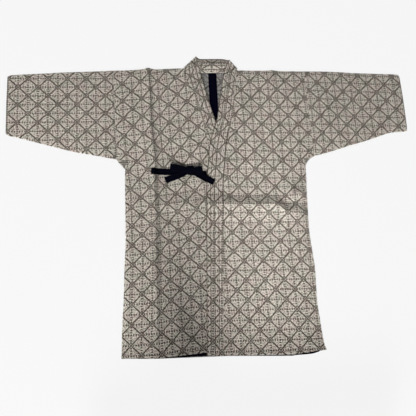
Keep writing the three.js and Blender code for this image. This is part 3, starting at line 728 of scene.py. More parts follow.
def add_gusset(side, cloth, wrong_side_painted_shade):
    toward = TOWARD[side]
    apex = Vector((side_x[side](GUSSET_TOP) + toward * SEAM, GUSSET_TOP - SEAM))
    armhole = armhole_x[side](ARMHOLE_FOOT) - toward * SEAM
    sleeve_top = Vector((armhole, ARMHOLE_FOOT - SEAM))
    sleeve_end = Vector((armhole, GUSSET_SLEEVE_END[side]))
    side_end = Vector((side_x[side](GUSSET_FOOT) + toward * SEAM, GUSSET_FOOT))
    bend_at = Vector(GUSSET_BEND[side])
    turns = [math.pi * (0.5 - step / GUSSET_TURNS) for step in range(GUSSET_TURNS + 1)]
    sewn_lengths = [step / GUSSET_FLAT for step in range(GUSSET_FLAT)]
    columns = [("upper", share) for share in sewn_lengths] + [("bend", turn) for turn in turns]
    columns += [("lower", share) for share in reversed(sewn_lengths)]

    def place(column, row):
        share = GUSSET_END * row / GUSSET_ROWS
        fold = sleeve_end * (1 - share) ** 2 + bend_at * (2 * share * (1 - share)) + side_end * share ** 2
        first, second = (sleeve_top, apex) if share < 0.5 else (apex, side_end)
        sewn = first.lerp(second, share * 2 if share < 0.5 else share * 2 - 1)
        out = (fold - sewn).normalized()
        centre = fold - out * EDGE_RADIUS
        kind, value = columns[column]
        if kind == "bend":
            flat = centre + out * (EDGE_RADIUS * math.cos(value))
            z = EDGE_RADIUS + EDGE_RADIUS * math.sin(value)
        else:
            flat = sewn.lerp(centre, value)
            dip = rolled((flat - sewn).length, 0)
            z = 2 * EDGE_RADIUS - dip if kind == "upper" else dip
        weave = (flat.x + toward * flat.y, flat.y - toward * flat.x)
        weave = [slant / REPEAT * GUSSET_WEAVE for slant in weave]
        return Vector((flat.x, flat.y, z)), weave, (UNSEWN, UNSEWN)

    piece = lay_sheet(f"gusset_{side}_cloth", len(columns) - 1, GUSSET_ROWS, place, [cloth, wrong_side_painted_shade])
    return stand_for(give_wall(piece, CLOTH, rounding=0.25, inside=1), f"gusset_{side}")


# Collar: one band from hem to hem, turned over at each side of the neck

COLLAR_COLUMNS = 20
COLLAR_STEP = 4
NECK_STEP = 2.5
FOLD_TURNS = 12
# Rows of sewing along the band, in from its free edge, and their strength. The row at the free edge is
# painted shade of the edge rolling away, drawn dashed like stitching. The row at the seam is stitching
# darkened with painted shade of the seam.
COLLAR_SEWING_AND_EDGE_SHADE = table("inset strength", (1.3, 1), (12.5, 0.8), (24, 0.8), (36, 0.7), (49.4, 1))
# The band puffs up between its rows of sewing, as far up as the neck's folds, and arches behind the neck
COLLAR_PUFF = 1
PUFF_ROUNDNESS = 0.6
COLLAR_PUFF_TO = (396, 414)
BACK_ARCH = 5
BACK_ARCH_FROM = (60, 30)
# The left band lies on the right one where it is higher than this, and comes down to its seam's height over
# this share of its width
LAPPED_ABOVE = 2 * BAND
LAP_SETTLES = (0, 0.35)
# Nodes of its lattice: at a height on its fronts or a place across the back, how far in from its free edge,
# and how wide a repeat lies there
COLLAR_WEAVE = table("part at row inset pitch",
                     ("right", 260.7, -3, 11, 46), ("right", 316.1, -2, 11, 46), ("right", 372.8, -1, 11, 46),
                     ("right", 428.8, 0, 11, 46), ("back", -25, 1, -3.4, 40), ("back", 1, 1.5, -3.4, 40),
                     ("back", 27, 2, -3.4, 40), ("left", 408, 3, 19, 46), ("left", 362.6, 4, 19, 50),
                     ("left", 258.2, 6, 19, 50), ("left", 148.2, 8, 25, 50), ("left", 42.5, 10, 24, 50),
                     ("left", -71.8, 12, 21, 50), ("left", -182, 14, 19.5, 50), ("left", -295.4, 16, 18, 50),
                     ("left", -406.7, 18, 17, 50))


def neck_fold(side):
    """Stations round the fold at one side of the neck, from the band's front to its back."""
    row = COLLAR[side][0]
    free, seam = (Vector((row[name + "X"], row[name + "Y"], 0)) for name in ("free", "seam"))
    along = (seam - free).normalized()
    out = along.cross(Vector((0, 0, 1 if side == "right" else -1)))
    radius = (BAND + PRESSED) / 2
    stations = []
    for step in range(FOLD_TURNS + 1):
        turn = math.pi * (0.5 - step / FOLD_TURNS)
        facing = out * math.cos(turn) + Vector((0, 0, math.sin(turn)))
        lift = Vector((0, 0, BAND / 2 + radius))
        stations.append(("fold", free + lift + facing * radius, seam + lift + facing * radius))
    return stations


def collar_stations():
    """Free and sewn place of the band's middle surface at each step from the right hem to the left."""
    stations = []
    right = [row["seamY"] for row in COLLAR["right"]]
    left = [row["seamY"] for row in COLLAR["left"]]

    def on_front(side, y):
        ends = Vector((free_x[side](y), free_y[side](y), 0)), Vector((seam_x[side](y), y, 0))
        for end, toward_free in zip(ends, (1, 0)):
            if side == "right":
                lying = right_collar_height(end.x, end.y)
            else:
                lying = left_collar_height(end.x, end.y, toward_free)
            end.z = lying + BAND / 2
        return side, *ends

    steps = round((right[0] - right[-1]) / COLLAR_STEP)
    stations += [on_front("right", y) for y in spread(right[-1], right[0], steps)]
    stations += neck_fold("right")
    behind_seam = Course(NECK_BAND, "seamX", "seamY")
    behind_free = {name: Course(NECK_BAND, "seamX", name) for name in ("freeX", "freeY")}
    first, last = NECK_BAND[0]["seamX"], NECK_BAND[-1]["seamX"]
    for x in spread(first, last, round((last - first) / NECK_STEP)) + [last]:
        free = Vector((behind_free["freeX"](x), behind_free["freeY"](x), BAND / 2))
        stations.append(("back", free, Vector((x, behind_seam(x), BAND / 2))))
    stations += reversed(neck_fold("left"))
    steps = round((left[0] - left[-1]) / COLLAR_STEP)
    stations += [on_front("left", y) for y in [*spread(left[0], left[-1], steps)[1:], left[-1]]]
    return stations


def collar_weave(stations, travelled):
    """Courses of the lattice's row, inset and pitch along the band, through its nodes."""
    nodes = []
    for node in COLLAR_WEAVE:
        passed = []
        for (part, free, seam), along in zip(stations, travelled):
            if part == node["part"]:
                spot = free.lerp(seam, node["inset"] / (seam - free).length)
                passed.append(dict(at=spot.x if part == "back" else spot.y, along=along))
        nodes.append(dict(node, along=Course(passed, "at", "along")(node["at"])))
    return [Course(nodes, "along", name, runs_on=name == "row") for name in ("row", "inset", "pitch")]


def collar_puff(inset):
    """How far the band puffs up between its rows of sewing."""
    insets = [row["inset"] for row in COLLAR_SEWING_AND_EDGE_SHADE]
    for one, other in zip(insets, insets[1:]):
        if one < inset < other:
            return COLLAR_PUFF * math.sin(math.pi * (inset - one) / (other - one)) ** PUFF_ROUNDNESS
    return 0


def add_collar(cloth):
    stations = collar_stations()
    travelled = [0]
    for (_, free, seam), (_, next_free, next_seam) in zip(stations, stations[1:]):
        middle, next_middle = (free + seam) / 2, (next_free + next_seam) / 2
        travelled.append(travelled[-1] + (next_middle - middle).length)

    rows, insets, pitches = collar_weave(stations, travelled)

    def place(column, row):
        part, free, seam = stations[row]
        share = column / COLLAR_COLUMNS
        point = free.lerp(seam, share)
        if part == "left" and free.z > LAPPED_ABOVE:
            point.z = mix(free.z, seam.z, ease(LAP_SETTLES, share))
        along = travelled[row]
        inset = (seam - free).length * share
        if part in TOWARD:
            point.z += collar_puff(inset) * (1 - ease(COLLAR_PUFF_TO, point.y))
        elif part == "back":
            point.z += BACK_ARCH * math.sin(math.pi * share) * ease(BACK_ARCH_FROM, abs(point.x))
        return point, ((inset - insets(along)) / pitches(along), rows(along)), (inset, along)

    piece = lay_sheet("collar_cloth", COLLAR_COLUMNS, len(stations) - 1, place, [cloth])
    return stand_for(give_wall(piece, BAND, offset=0, rounding=1.1, segments=3), "collar")


# Tapes sewn inside the back

TAPE_BOTTOM = CLOTH + 0.1
TAPE_COLUMNS = 8
TAPE_STEP = 6
TAPE_WAVE = dict(long=30, seed=3, high=0.35, lift=0.25)


def add_tape(name, node, start, stop, edge_at, material):
    """A flat tape: edge_at gives its two edges at a place along it."""
    steps = round(abs(stop - start) / TAPE_STEP)

    def place(column, row):
        at = mix(start, stop, row / steps)
        one, other = edge_at(at)
        share = column / TAPE_COLUMNS
        flat = one.lerp(other, share)
        wave = noise.noise(Vector((*flat / TAPE_WAVE["long"], TAPE_WAVE["seed"])))
        z = TAPE_BOTTOM + TAPE + TAPE_WAVE["high"] * wave + TAPE_WAVE["lift"]
        return Vector((flat.x, flat.y, z)), (share * TAPE_WIDTH, at), (TAPE_WIDTH * min(share, 1 - share), at)

    piece = lay_sheet(name, TAPE_COLUMNS, steps, place, [material])
    return stand_for(give_wall(piece, TAPE, rounding=0.2), node)


def hem_tape_edge(x):
    foot = back_hem(x) + HEM_TAPE_INSET
    return Vector((x, foot)), Vector((x, foot + TAPE_WIDTH))


def centre_tape_edge(y):
    return Vector((-TAPE_WIDTH / 2, y)), Vector((TAPE_WIDTH / 2, y))


# The bow

TIE_COLUMNS = 10
TIE_STEPS = 9
TIE_PLEATS = 5
TIE_WAVE = dict(long=9, high=0.22)
TIE_LEFT_Y = 81
# How far an end is tucked into the knot
TUCK = 2


def tie_height(x, y, layer, over_collar=True):
    """Height of the middle of a tie that lies on the jacket, above a number of ties already there."""
    collar_edge = edge_x["left"](y)
    onto_collar = ease(CLIMBS_BAND, x - collar_edge) if over_collar else 0
    panel = front_height("right", min(x, collar_edge), y) + CLOTH
    collar = left_collar_height(x, y, 1 - ease(ONTO_BAND, x - collar_edge)) + BAND + COLLAR_PUFF
    return mix(panel, collar, onto_collar) + TIE_CLEARANCE + layer * LAYER_STEP + TIE / 2


def smooth_route(route, steps):
    """A smooth line through the route's places, each a point and a width, with steps between each two."""
    padded = [route[0], *route, route[-1]]
    smooth = []
    for i in range(1, len(padded) - 2):
        before, start, stop, after = padded[i - 1:i + 3]
        for step in range(steps):
            t = step / steps
            smooth.append([
                0.5 * (2 * b + (c - a) * t + (2 * a - 5 * b + 4 * c - d) * t * t
                       + (3 * b - a - 3 * c + d) * t ** 3)
                for a, b, c, d in zip(before, start, stop, after)
            ])
    return smooth + [list(route[-1])]


def add_tie(name, route, material, heading=None, gathered=(0, 0), cup=0.5):
    """A flat tie along a route of x, y, z and width. gathered is how much it pleats at each end."""
    line = smooth_route(route, TIE_STEPS)
    last = len(line) - 1
    length = [0]
    for one, other in zip(line, line[1:]):
        length.append(length[-1] + math.dist(one[:3], other[:3]))

    def place(column, row):
        x, y, z, wide = line[row]
        before, after = Vector(line[max(row - 1, 0)][:3]), Vector(line[min(row + 1, last)][:3])
        along = (after - before).normalized()
        level = heading or along
        side = Vector((-level.y, level.x, 0)).normalized()
        facing = side.cross(along) * (-1 if heading else 1)
        share = column / TIE_COLUMNS
        pleat = gathered[0] * (1 - row / last) ** 2 + gathered[1] * (row / last) ** 2
        lift = cup * (1 - (2 * share - 1) ** 2) + pleat * math.cos(TIE_PLEATS * math.pi * share)
        lift += TIE_WAVE["high"] * noise.noise(Vector((x / TIE_WAVE["long"], y / TIE_WAVE["long"], z)))
        point = Vector((x, y, z)) + side * ((share - 0.5) * wide) + facing.normalized() * lift
        return point, (share * TIE_WIDTH, length[row]), (TIE_WIDTH * min(share, 1 - share), length[row])

    piece = lay_sheet(name + "_cloth", TIE_COLUMNS, last, place, [material])
    return stand_for(give_wall(piece, TIE, offset=0), name), length[-1]


# A loop is gathered where it leaves the knot, and this is half its height where it turns back
GATHERED_WIDTHS = (10, 13)
GATHERED_LENGTH = 4
LOOP_BEND = 1.9
LOOP_TURNS = 4
LOOP_MIDDLE = 0.6


def add_loop(name, end, layer, material):
    """A loop of the bow: out from the knot, over at its end and back above itself."""
    centre = Vector((KNOT["x"], KNOT["y"]))
    out = Vector((end["x"], end["y"])) - centre
    reach = out.length
    out.normalize()
    start = math.hypot(KNOT["wide"] / 2 * out.x, KNOT["long"] / 2 * out.y) - TUCK
    base = tie_height(KNOT["x"], KNOT["y"], layer)
    upper = base + 2 * LOOP_BEND
    narrow, wider = GATHERED_WIDTHS
    middle = mix(start, reach, LOOP_MIDDLE)

    def leg(away, z, wide=TIE_WIDTH):
        return (*(centre + out * away), z, wide)

    route = [leg(start, base, narrow), leg(start + GATHERED_LENGTH, base - 0.2, wider)]
    route.append(leg(middle, base - 0.1))
    for step in range(LOOP_TURNS + 1):
        turn = math.pi * (step / LOOP_TURNS - 0.5)
        away = reach - LOOP_BEND + LOOP_BEND * math.cos(turn)
        route.append(leg(away, base + LOOP_BEND + LOOP_BEND * math.sin(turn)))
    route += [leg(middle, upper + 0.9), leg(start + GATHERED_LENGTH, upper + 0.3, wider)]
    route.append(leg(start, upper - 0.2, narrow))
    return add_tie(name, route, material, Vector((out.x, out.y, 0)), gathered=(0.5, 0.5), cup=0)


KNOT_COLUMNS = 16
KNOT_TURNS = 40
KNOT_GAP = 0.4
# The band is narrowed and swells a little to one side. Its surface falls off at its edges and has soft
# pleats, and it slants across the knot
NARROWED = 0.86
SWELLS = 0.1
SWELLS_AT = 0.7
FALLS_OFF = 0.2
PLEAT_DEPTH = 0.05
PLEATS = 2.5
SLANTS = 1.4
KNOT_SKIN = dict(y=0.4, z=0.3)
KNOT_WEAVE = (9, 8)


def add_knot(material):
    """The tie's turn round the middle: a band closed on itself, narrow underneath and pleated on top."""
    bottom = front_height("right", KNOT["x"], KNOT["y"]) + CLOTH + KNOT_GAP
    centre = Vector((KNOT["x"], KNOT["y"], bottom + KNOT["high"] / 2))

    def place(column, row):
        turn = 2 * math.pi * row / KNOT_TURNS
        share = column / KNOT_COLUMNS * 2 - 1
        wide = KNOT["wide"] / 2 * (NARROWED + SWELLS * math.sin(turn + SWELLS_AT))
        barrel = 1 - FALLS_OFF * share ** 4 - PLEAT_DEPTH * math.cos(math.pi * PLEATS * share + turn)
        x = share * wide + SLANTS * math.sin(turn) * math.cos(turn)
        y = math.cos(turn) * (KNOT["long"] / 2 - KNOT_SKIN["y"]) * barrel
        z = math.sin(turn) * (KNOT["high"] / 2 - KNOT_SKIN["z"]) * barrel
        weave = (share * KNOT_WEAVE[0], turn * KNOT_WEAVE[1])
        return centre + Vector((x, y, z)), weave, (UNSEWN, UNSEWN)

    piece = lay_sheet("knot_cloth", KNOT_COLUMNS, KNOT_TURNS, place, [material])
    bm = bmesh.new()
    bm.from_mesh(piece.data)
    bmesh.ops.remove_doubles(bm, verts=bm.verts, dist=0.02 * MM)
    bm.to_mesh(piece.data)
    bm.free()
    return stand_for(give_wall(piece, TIE), "knot")


def add_bow(material):
    """The ties, tails and loops of the bow by their nodes, each with its length."""
    def lie(x, y, layer, wide=TIE_WIDTH, over_collar=True):
        return (x, y, tie_height(x, y, layer, over_collar), wide)

    left_of_knot = KNOT["x"] - KNOT["wide"] / 2 + TUCK
    right_of_knot = KNOT["x"] + KNOT["wide"] / 2 - TUCK
    ties = {}
    ties["tie_right"] = add_tie("tie_right", [
        lie(-197.5, 87.5, 0), lie(-188, 87.5, 0), lie(-176, 87.5, 0), lie(-164, 87, 0), lie(-150, 86.5, 0),
        lie(-130, 86.5, 0), lie(-112, 87, 0), lie(left_of_knot, 87.5, 0, 13),
    ], material, gathered=(0, 0.5))
    sewn_at = edge_x["left"](TIE_LEFT_Y)
    ties["tie_left"] = add_tie("tie_left", [
        lie(sewn_at - 1, TIE_LEFT_Y - 1, 0, 13, False), lie(sewn_at - 14, TIE_LEFT_Y, 0, 13, False),
        lie(sewn_at - 26, 83.5, 0, 13, False), lie(right_of_knot, 85, 0, 12, False),
    ], material, gathered=(0, 0.5))
    ties["tail_right"] = add_tie("tail_right", [
        lie(left_of_knot, 83, 1, 12), lie(-112, 76.5, 1), lie(-128, 70.5, 1), lie(-142, 65.5, 0.4),
        lie(-156, 60.5, 0),
    ], material, gathered=(0.5, 0))
    ties["tail_left"] = add_tie("tail_left", [
        lie(right_of_knot, 81, 2, 12), lie(-58, 76, 2), lie(-46, 69.5, 1.6), lie(-36, 63, 1),
        lie(-24, 56.5, 0), lie(-13, 50.5, 0),
    ], material, gathered=(0.5, 0))
    ties["loop_right"] = add_loop("loop_right", dict(x=-140.5, y=101), 2, material)
    ties["loop_left"] = add_loop("loop_left", dict(x=-47, y=91), 3.2, material)
    return ties


# Materials

def linear(hex_colour):
    """An sRGB hex colour as linear red, green, blue and alpha."""
    parts = [int(hex_colour[i:i + 2], 16) / 255 for i in (1, 3, 5)]
    return [*(c / 12.92 if c <= 0.04045 else ((c + 0.055) / 1.055) ** 2.4 for c in parts), 1]


def add(tree, kind, inputs=None, **settings):
    """Adds a node with its settings. inputs gives its sockets a value, or another node's output."""
    node = tree.nodes.new("ShaderNode" + kind)
    for name, value in settings.items():
        setattr(node, name, value)
    for socket, value in (inputs or {}).items():
        if isinstance(value, bpy.types.Node):
            value = value.outputs[0]
        if isinstance(value, bpy.types.NodeSocket):
            tree.links.new(value, node.inputs[socket])
        else:
            node.inputs[socket].default_value = value
    return node


def new_material(name):
    material = bpy.data.materials.new(name)
    material.use_nodes = True
    material.node_tree.nodes.clear()
    return material, material.node_tree


def close_material(tree, shader):
    add(tree, "OutputMaterial", {"Surface": shader})


# Half the width of the lattice's lines and the half sizes of a stitch, as shares of a repeat, how soft their
# edges are, and how many stitches a repeat holds
LINE_HALF = 1.75 / REPEAT * math.sqrt(2)
LINE_SOFT = 0.2
STITCH_HALF_ACROSS = 3.1 / REPEAT
STITCH_HALF_ALONG = 1.85 / REPEAT
STITCH_SOFT = 0.15
STITCHES = 8
# Where two lines cross they show this much, and whole from the end of the span. Stitches stop short of them
CROSSING_SHOWS = 0.77
CROSSING_SPAN = (0.03, 0.27)
STITCH_STOPS = (0.025, 0.055)
# How far the lattice wanders, as a share of a repeat, and the real sizes of its wandering, of wear, patches,
# hues and slubs in the yarn and of its rice grains
WANDER = 0.03
WANDER_SIZE = 18.29
WEAR_SIZE = 6.3
PATCH_SIZE = 33.35
HUE_SIZE = 43.62
SLUB = 3.7
GRAIN_LONG = 3.6
GRAIN_HIGH = 1.9
GRAIN_GAP = 0.35
GAP_SHADE = 0.3
THREAD_RELIEF = 0.5
# Rows of sewing, and rows of painted shade at edges and seams that are drawn like them: their stitches'
# pitch, where the gap between two of them ends, how much of the row shows in that gap, and how soft its sides
# are
SEWING_PITCH = 4.8
SEWING_ENDS = (0.7, 1.3)
SEWING_BETWEEN = 0.35
SEWING_SOFT = 0.4


def sashiko(name, ground, ground_warm, ground_light, yarn, strength=1, across_sewing_and_shade=(), along_sewing_and_shade=(),
            sewing_half=1.1):
    """Sashiko-ori cotton: a rice-grain ground with a lattice of dark thread floats. Its matt, slightly
    fuzzy grains give the eye a dry, heavy cloth whose lines are broken by the weave.

    The lattice has solid diagonals, and a cross of short stitches in each diamond. The slubs of the ground
    are drawn coarser than the yarn's own, so that they show. across_sewing_and_shade and
    along_sewing_and_shade
    are rows of sewing: how far each runs from the side, cuff or free edge, or from the hem, in mm, and its
    strength. Some of the rows, at an edge or a seam, are painted shade there, drawn dashed like stitching.
    sewing_half is half the width of their stitches, in mm."""
    material, tree = new_material(name)
    weave = add(tree, "UVMap", uv_map="weave")
    drift = add(tree, "TexNoise", {"Vector": weave, "Scale": REPEAT / WANDER_SIZE, "Detail": 2})
    drift = add(tree, "VectorMath", {0: drift.outputs["Color"], 1: (0.5, 0.5, 0.5)}, operation="SUBTRACT")
    drift = add(tree, "VectorMath", {0: drift, "Scale": WANDER}, operation="SCALE")
    place = add(tree, "VectorMath", {0: weave, 1: drift}, operation="ADD")
    parts = add(tree, "SeparateXYZ", {0: place})
    across, along = parts.outputs[0], parts.outputs[1]
    rising = add(tree, "Math", {0: across, 1: along}, operation="SUBTRACT")
    falling = add(tree, "Math", {0: across, 1: along}, operation="ADD")
    offs = [add(tree, "Math", {0: diagonal, 1: 0.5}, operation="PINGPONG") for diagonal in (rising, falling)]
    marks = []
    for off, crossing in zip(offs, reversed(offs)):
        line = add(tree, "MapRange", {"Value": off, "From Min": LINE_HALF * (1 + LINE_SOFT),
                                      "From Max": LINE_HALF * (1 - LINE_SOFT)},
                   interpolation_type="SMOOTHSTEP")
        under = add(tree, "MapRange", {"Value": crossing, "From Min": CROSSING_SPAN[0],
                                       "From Max": CROSSING_SPAN[1], "To Min": CROSSING_SHOWS, "To Max": 1})
        marks.append(add(tree, "Math", {0: line, 1: under}, operation="MULTIPLY"))
    clear = [add(tree, "MapRange", {"Value": off, "From Min": STITCH_STOPS[0], "From Max": STITCH_STOPS[1]},
                 interpolation_type="SMOOTHSTEP") for off in offs]
    away = add(tree, "Math", {0: clear[0], 1: clear[1]}, operation="MULTIPLY")
    for one, other in ((across, along), (along, across)):
        to_row = add(tree, "Math", {0: other, 1: 0.25}, operation="PINGPONG")
        to_stitch = add(tree, "Math", {0: one, 1: 0.5 / STITCHES}, operation="PINGPONG")
        long_way = add(tree, "Math", {0: to_row, 1: STITCH_HALF_ACROSS}, operation="DIVIDE")
        short_way = add(tree, "Math", {0: to_stitch, 1: STITCH_HALF_ALONG}, operation="DIVIDE")
        oval = add(tree, "CombineXYZ", {0: long_way, 1: short_way})
        oval = add(tree, "VectorMath", {0: oval}, operation="LENGTH")
        stitch = add(tree, "MapRange", {"Value": oval.outputs["Value"], "From Min": 1 + STITCH_SOFT,
                                        "From Max": 1 - STITCH_SOFT}, interpolation_type="SMOOTHSTEP")
        marks.append(add(tree, "Math", {0: stitch, 1: away}, operation="MULTIPLY"))
    thread = marks[0]
    for mark in marks[1:]:
        thread = add(tree, "Math", {0: thread, 1: mark}, operation="MAXIMUM")

    grains = add(tree, "TexBrick", {"Vector": weave, "Scale": 1,
                                    "Mortar Size": GRAIN_GAP * GRAIN_HIGH / REPEAT, "Mortar Smooth": 1,
                                    "Brick Width": GRAIN_LONG / REPEAT,
                                    "Row Height": GRAIN_HIGH / REPEAT}, offset=0.5)
    worn = add(tree, "TexNoise", {"Vector": weave, "Scale": REPEAT / WEAR_SIZE, "Detail": 3,
                                  "Roughness": 0.7})
    loss = add(tree, "MapRange", {"Value": worn, "From Min": 0.4, "From Max": 0.7,
                                  "To Min": 1, "To Max": 0.78})
    dark = add(tree, "Math", {0: thread, 1: loss}, operation="MULTIPLY")
    dark = add(tree, "Math", {0: dark, 1: strength}, operation="MULTIPLY")

    edges = add(tree, "SeparateXYZ", {0: add(tree, "UVMap", uv_map="edges")})
    sewing = [(edges.outputs[0], edges.outputs[1], row) for row in across_sewing_and_shade]
    sewing += [(edges.outputs[1], edges.outputs[0], row) for row in along_sewing_and_shade]
    # Each row is dashed like stitching. The rows at the edges and seams paint their shade.
    for inward, lengthways, row in sewing:
        off = add(tree, "Math", {0: inward, 1: row["inset"]}, operation="SUBTRACT")
        off = add(tree, "Math", {0: off}, operation="ABSOLUTE")
        off = add(tree, "MapRange", {"Value": off, "From Min": sewing_half + SEWING_SOFT,
                                     "From Max": sewing_half - SEWING_SOFT})
        dash = add(tree, "Math", {0: lengthways, 1: SEWING_PITCH / 2}, operation="PINGPONG")
        dash = add(tree, "MapRange", {"Value": dash, "From Min": SEWING_ENDS[0], "From Max": SEWING_ENDS[1],
                                      "To Min": SEWING_BETWEEN * row["strength"],
                                      "To Max": row["strength"]})
        sewn = add(tree, "Math", {0: off, 1: dash}, operation="MULTIPLY")
        dark = add(tree, "Math", {0: dark, 1: sewn}, operation="MAXIMUM")

    patches = add(tree, "TexNoise", {"Vector": weave, "Scale": REPEAT / PATCH_SIZE, "Detail": 3,
                                     "Roughness": 0.6})
    patches = add(tree, "MapRange", {"Value": patches, "From Min": 0.35, "From Max": 0.65, "To Max": 0.28})
    slubs = add(tree, "TexNoise", {"Vector": weave, "Scale": REPEAT / SLUB, "Detail": 1, "Roughness": 0.7})
    slubs = add(tree, "MapRange", {"Value": slubs, "From Min": 0.41, "From Max": 0.59, "To Max": 0.95})
    tint = add(tree, "Math", {0: patches, 1: slubs}, operation="ADD")
    hue = add(tree, "TexNoise", {"Vector": weave, "Scale": REPEAT / HUE_SIZE, "Detail": 3, "Roughness": 0.7})
    hue = add(tree, "MapRange", {"Value": hue, "From Min": 0.42, "From Max": 0.58},
              interpolation_type="SMOOTHSTEP")
    shade = add(tree, "Mix", {"Factor": hue, "A": linear(ground), "B": linear(ground_warm)}, data_type="RGBA")
    cotton = add(tree, "Mix", {"Factor": tint, "A": shade.outputs["Result"], "B": linear(ground_light)},
                 data_type="RGBA")
    gaps = add(tree, "Math", {0: grains.outputs["Fac"], 1: GAP_SHADE}, operation="MULTIPLY")
    colour = cotton
    for cover in (gaps, dark):
        colour = add(tree, "Mix", {"Factor": cover, "A": colour.outputs["Result"], "B": linear(yarn)},
                     data_type="RGBA")

    height = add(tree, "Math", {0: thread, 1: THREAD_RELIEF}, operation="MULTIPLY")
    height = add(tree, "Math", {0: height, 1: grains.outputs["Fac"]}, operation="SUBTRACT")
    height = add(tree, "Math", {0: height, 1: slubs}, operation="ADD")
    bump = add(tree, "Bump", {"Height": height, "Strength": 0.5, "Distance": 0.0006})
    shader = add(tree, "BsdfPrincipled", {"Base Color": colour.outputs["Result"], "Roughness": 0.92,
                                          "Specular IOR Level": 0.1, "Sheen Weight": 0.05,
                                          "Sheen Roughness": 0.5, "Normal": bump})
    close_material(tree, shader)
    return material


# Fuzz of the webbing's yarn, in mm, and the wide mottle of the acrylic, in metres
FUZZ_SIZE = 5 / 3
MOTTLE_SIZE = 0.5
TABLE_GLOW = 0.87


def navy_webbing(name, deep, light, rib):
    """Navy cotton tape: dyed near black and woven in close slanting ribs, rib mm apart. It looks flat and
    dense, and only its ribs catch the light."""
    material, tree = new_material(name)
    weave = add(tree, "UVMap", uv_map="weave")
    parts = add(tree, "SeparateXYZ", {0: weave})
    slant = add(tree, "Math", {0: parts.outputs[0], 1: parts.outputs[1]}, operation="ADD")
    ribs = add(tree, "Math", {0: slant, 1: rib / 2}, operation="PINGPONG")
    ribs = add(tree, "Math", {0: ribs, 1: rib / 2}, operation="DIVIDE")
    fuzz = add(tree, "TexNoise", {"Vector": weave, "Scale": 1 / FUZZ_SIZE, "Detail": 4})
    shade = add(tree, "Math", {0: ribs, 1: fuzz}, operation="MULTIPLY")
    colour = add(tree, "Mix", {"Factor": shade, "A": linear(deep), "B": linear(light)}, data_type="RGBA")
    bump = add(tree, "Bump", {"Height": ribs, "Strength": 0.4, "Distance": 0.0004})
    shader = add(tree, "BsdfPrincipled", {"Base Color": colour.outputs["Result"], "Roughness": 0.8,
                                          "Specular IOR Level": 0.05, "Normal": bump})
    close_material(tree, shader)
    return material


def light_table(name):
    """Opal acrylic of a light table. Lit from below, it stays evenly pale and swallows hard shadows,
    so what lies on it keeps a crisp outline."""
    material, tree = new_material(name)
    place = add(tree, "TexCoord").outputs["Object"]
    mottle = add(tree, "TexNoise", {"Vector": place, "Scale": 1 / MOTTLE_SIZE, "Detail": 3})
    colour = add(tree, "Mix", {"Factor": mottle, "A": linear("#474747"), "B": linear("#4b4b4b")},
                 data_type="RGBA")
    shader = add(tree, "BsdfPrincipled", {"Base Color": colour.outputs["Result"], "Roughness": 0.9,
                                          "Specular IOR Level": 0, "Emission Color": linear("#ffffff"),
                                          "Emission Strength": TABLE_GLOW})
    close_material(tree, shader)
    return material


# Camera, floor and light

CAMERA_AT = Vector((-0.2223, -0.3550, 1.6073))
CAMERA_LOOKS_AT = Vector((-0.0329, -0.0237, 0))
CAMERA_LEAN = math.radians(2.7)
CAMERA_LENS = 48.46
FLOOR_HALF = 3.5
FLOOR_BELOW = 0.0004


def put_stage(name, bm, material):
    """An object of the studio, which isn't part of the jacket."""
    mesh = bpy.data.meshes.new(name)
    bm.to_mesh(mesh)
    bm.free()
    mesh.materials.append(material)
    thing = put(name, mesh)
    return thing


def add_camera():
    camera = put("camera", bpy.data.cameras.new("camera"))
    camera.data.lens = CAMERA_LENS
    forward = (CAMERA_LOOKS_AT - CAMERA_AT).normalized()
    right = forward.cross(Vector((math.sin(CAMERA_LEAN), math.cos(CAMERA_LEAN), 0))).normalized()
    up = right.cross(forward)
    camera.location = CAMERA_AT
    camera.rotation_euler = Matrix((right, up, -forward)).transposed().to_euler()
    bpy.context.scene.camera = camera


def add_floor():
    bm = bmesh.new()
    bmesh.ops.create_grid(bm, x_segments=1, y_segments=1, size=FLOOR_HALF)
    bmesh.ops.translate(bm, vec=(0, 0, -FLOOR_BELOW), verts=bm.verts)
    put_stage("floor", bm, light_table("opal_acrylic"))


# Round lamps that face the jacket's middle, their sizes in metres and their powers in watts
LAMPS = table("name at size power",
              ("key", (-0.9, -4.6, 3.3), 1.5, 311), ("side", (-4.4, -1.2, 2.3), 0.8, 97))
POOL = dict(at=(0.23, -1.7, 1.5), aim=(0.062, 0, 0), size=0.15, power=78, spread=math.radians(18))
ROOM_GLOW = 0.16


def hang(name, data, at, aim):
    """Hangs a lamp at a place and aims it."""
    lamp = put(name, data)
    lamp.location = at
    lamp.rotation_euler = (Vector(aim) - Vector(at)).to_track_quat("-Z", "Y").to_euler()


def add_lamps():
    for lamp in LAMPS:
        data = bpy.data.lights.new(lamp["name"], "AREA")
        data.shape = "DISK"
        data.size = lamp["size"]
        data.energy = lamp["power"]
        hang(lamp["name"], data, lamp["at"], (0, 0, 0))


def add_pool():
    """A lamp behind a honeycomb grid, which lights a soft pool round its target."""
    data = bpy.data.lights.new("pool", "SPOT")
    data.spot_size = POOL["spread"]
    data.spot_blend = 1
    data.shadow_soft_size = POOL["size"]
    data.energy = POOL["power"]
    hang("pool", data, POOL["at"], POOL["aim"])


# Two cards that stand at FLAG_Y, in metres: a tall one that leans and narrows upward, and a low wide one
FLAG_Y = -0.85
FLAGS = table("foot_x head_x high wide narrow",
              (-0.06, -0.315, 0.765, 0.3, 0.05), (-0.01, -0.01, 0.326, 0.8, 0.8))


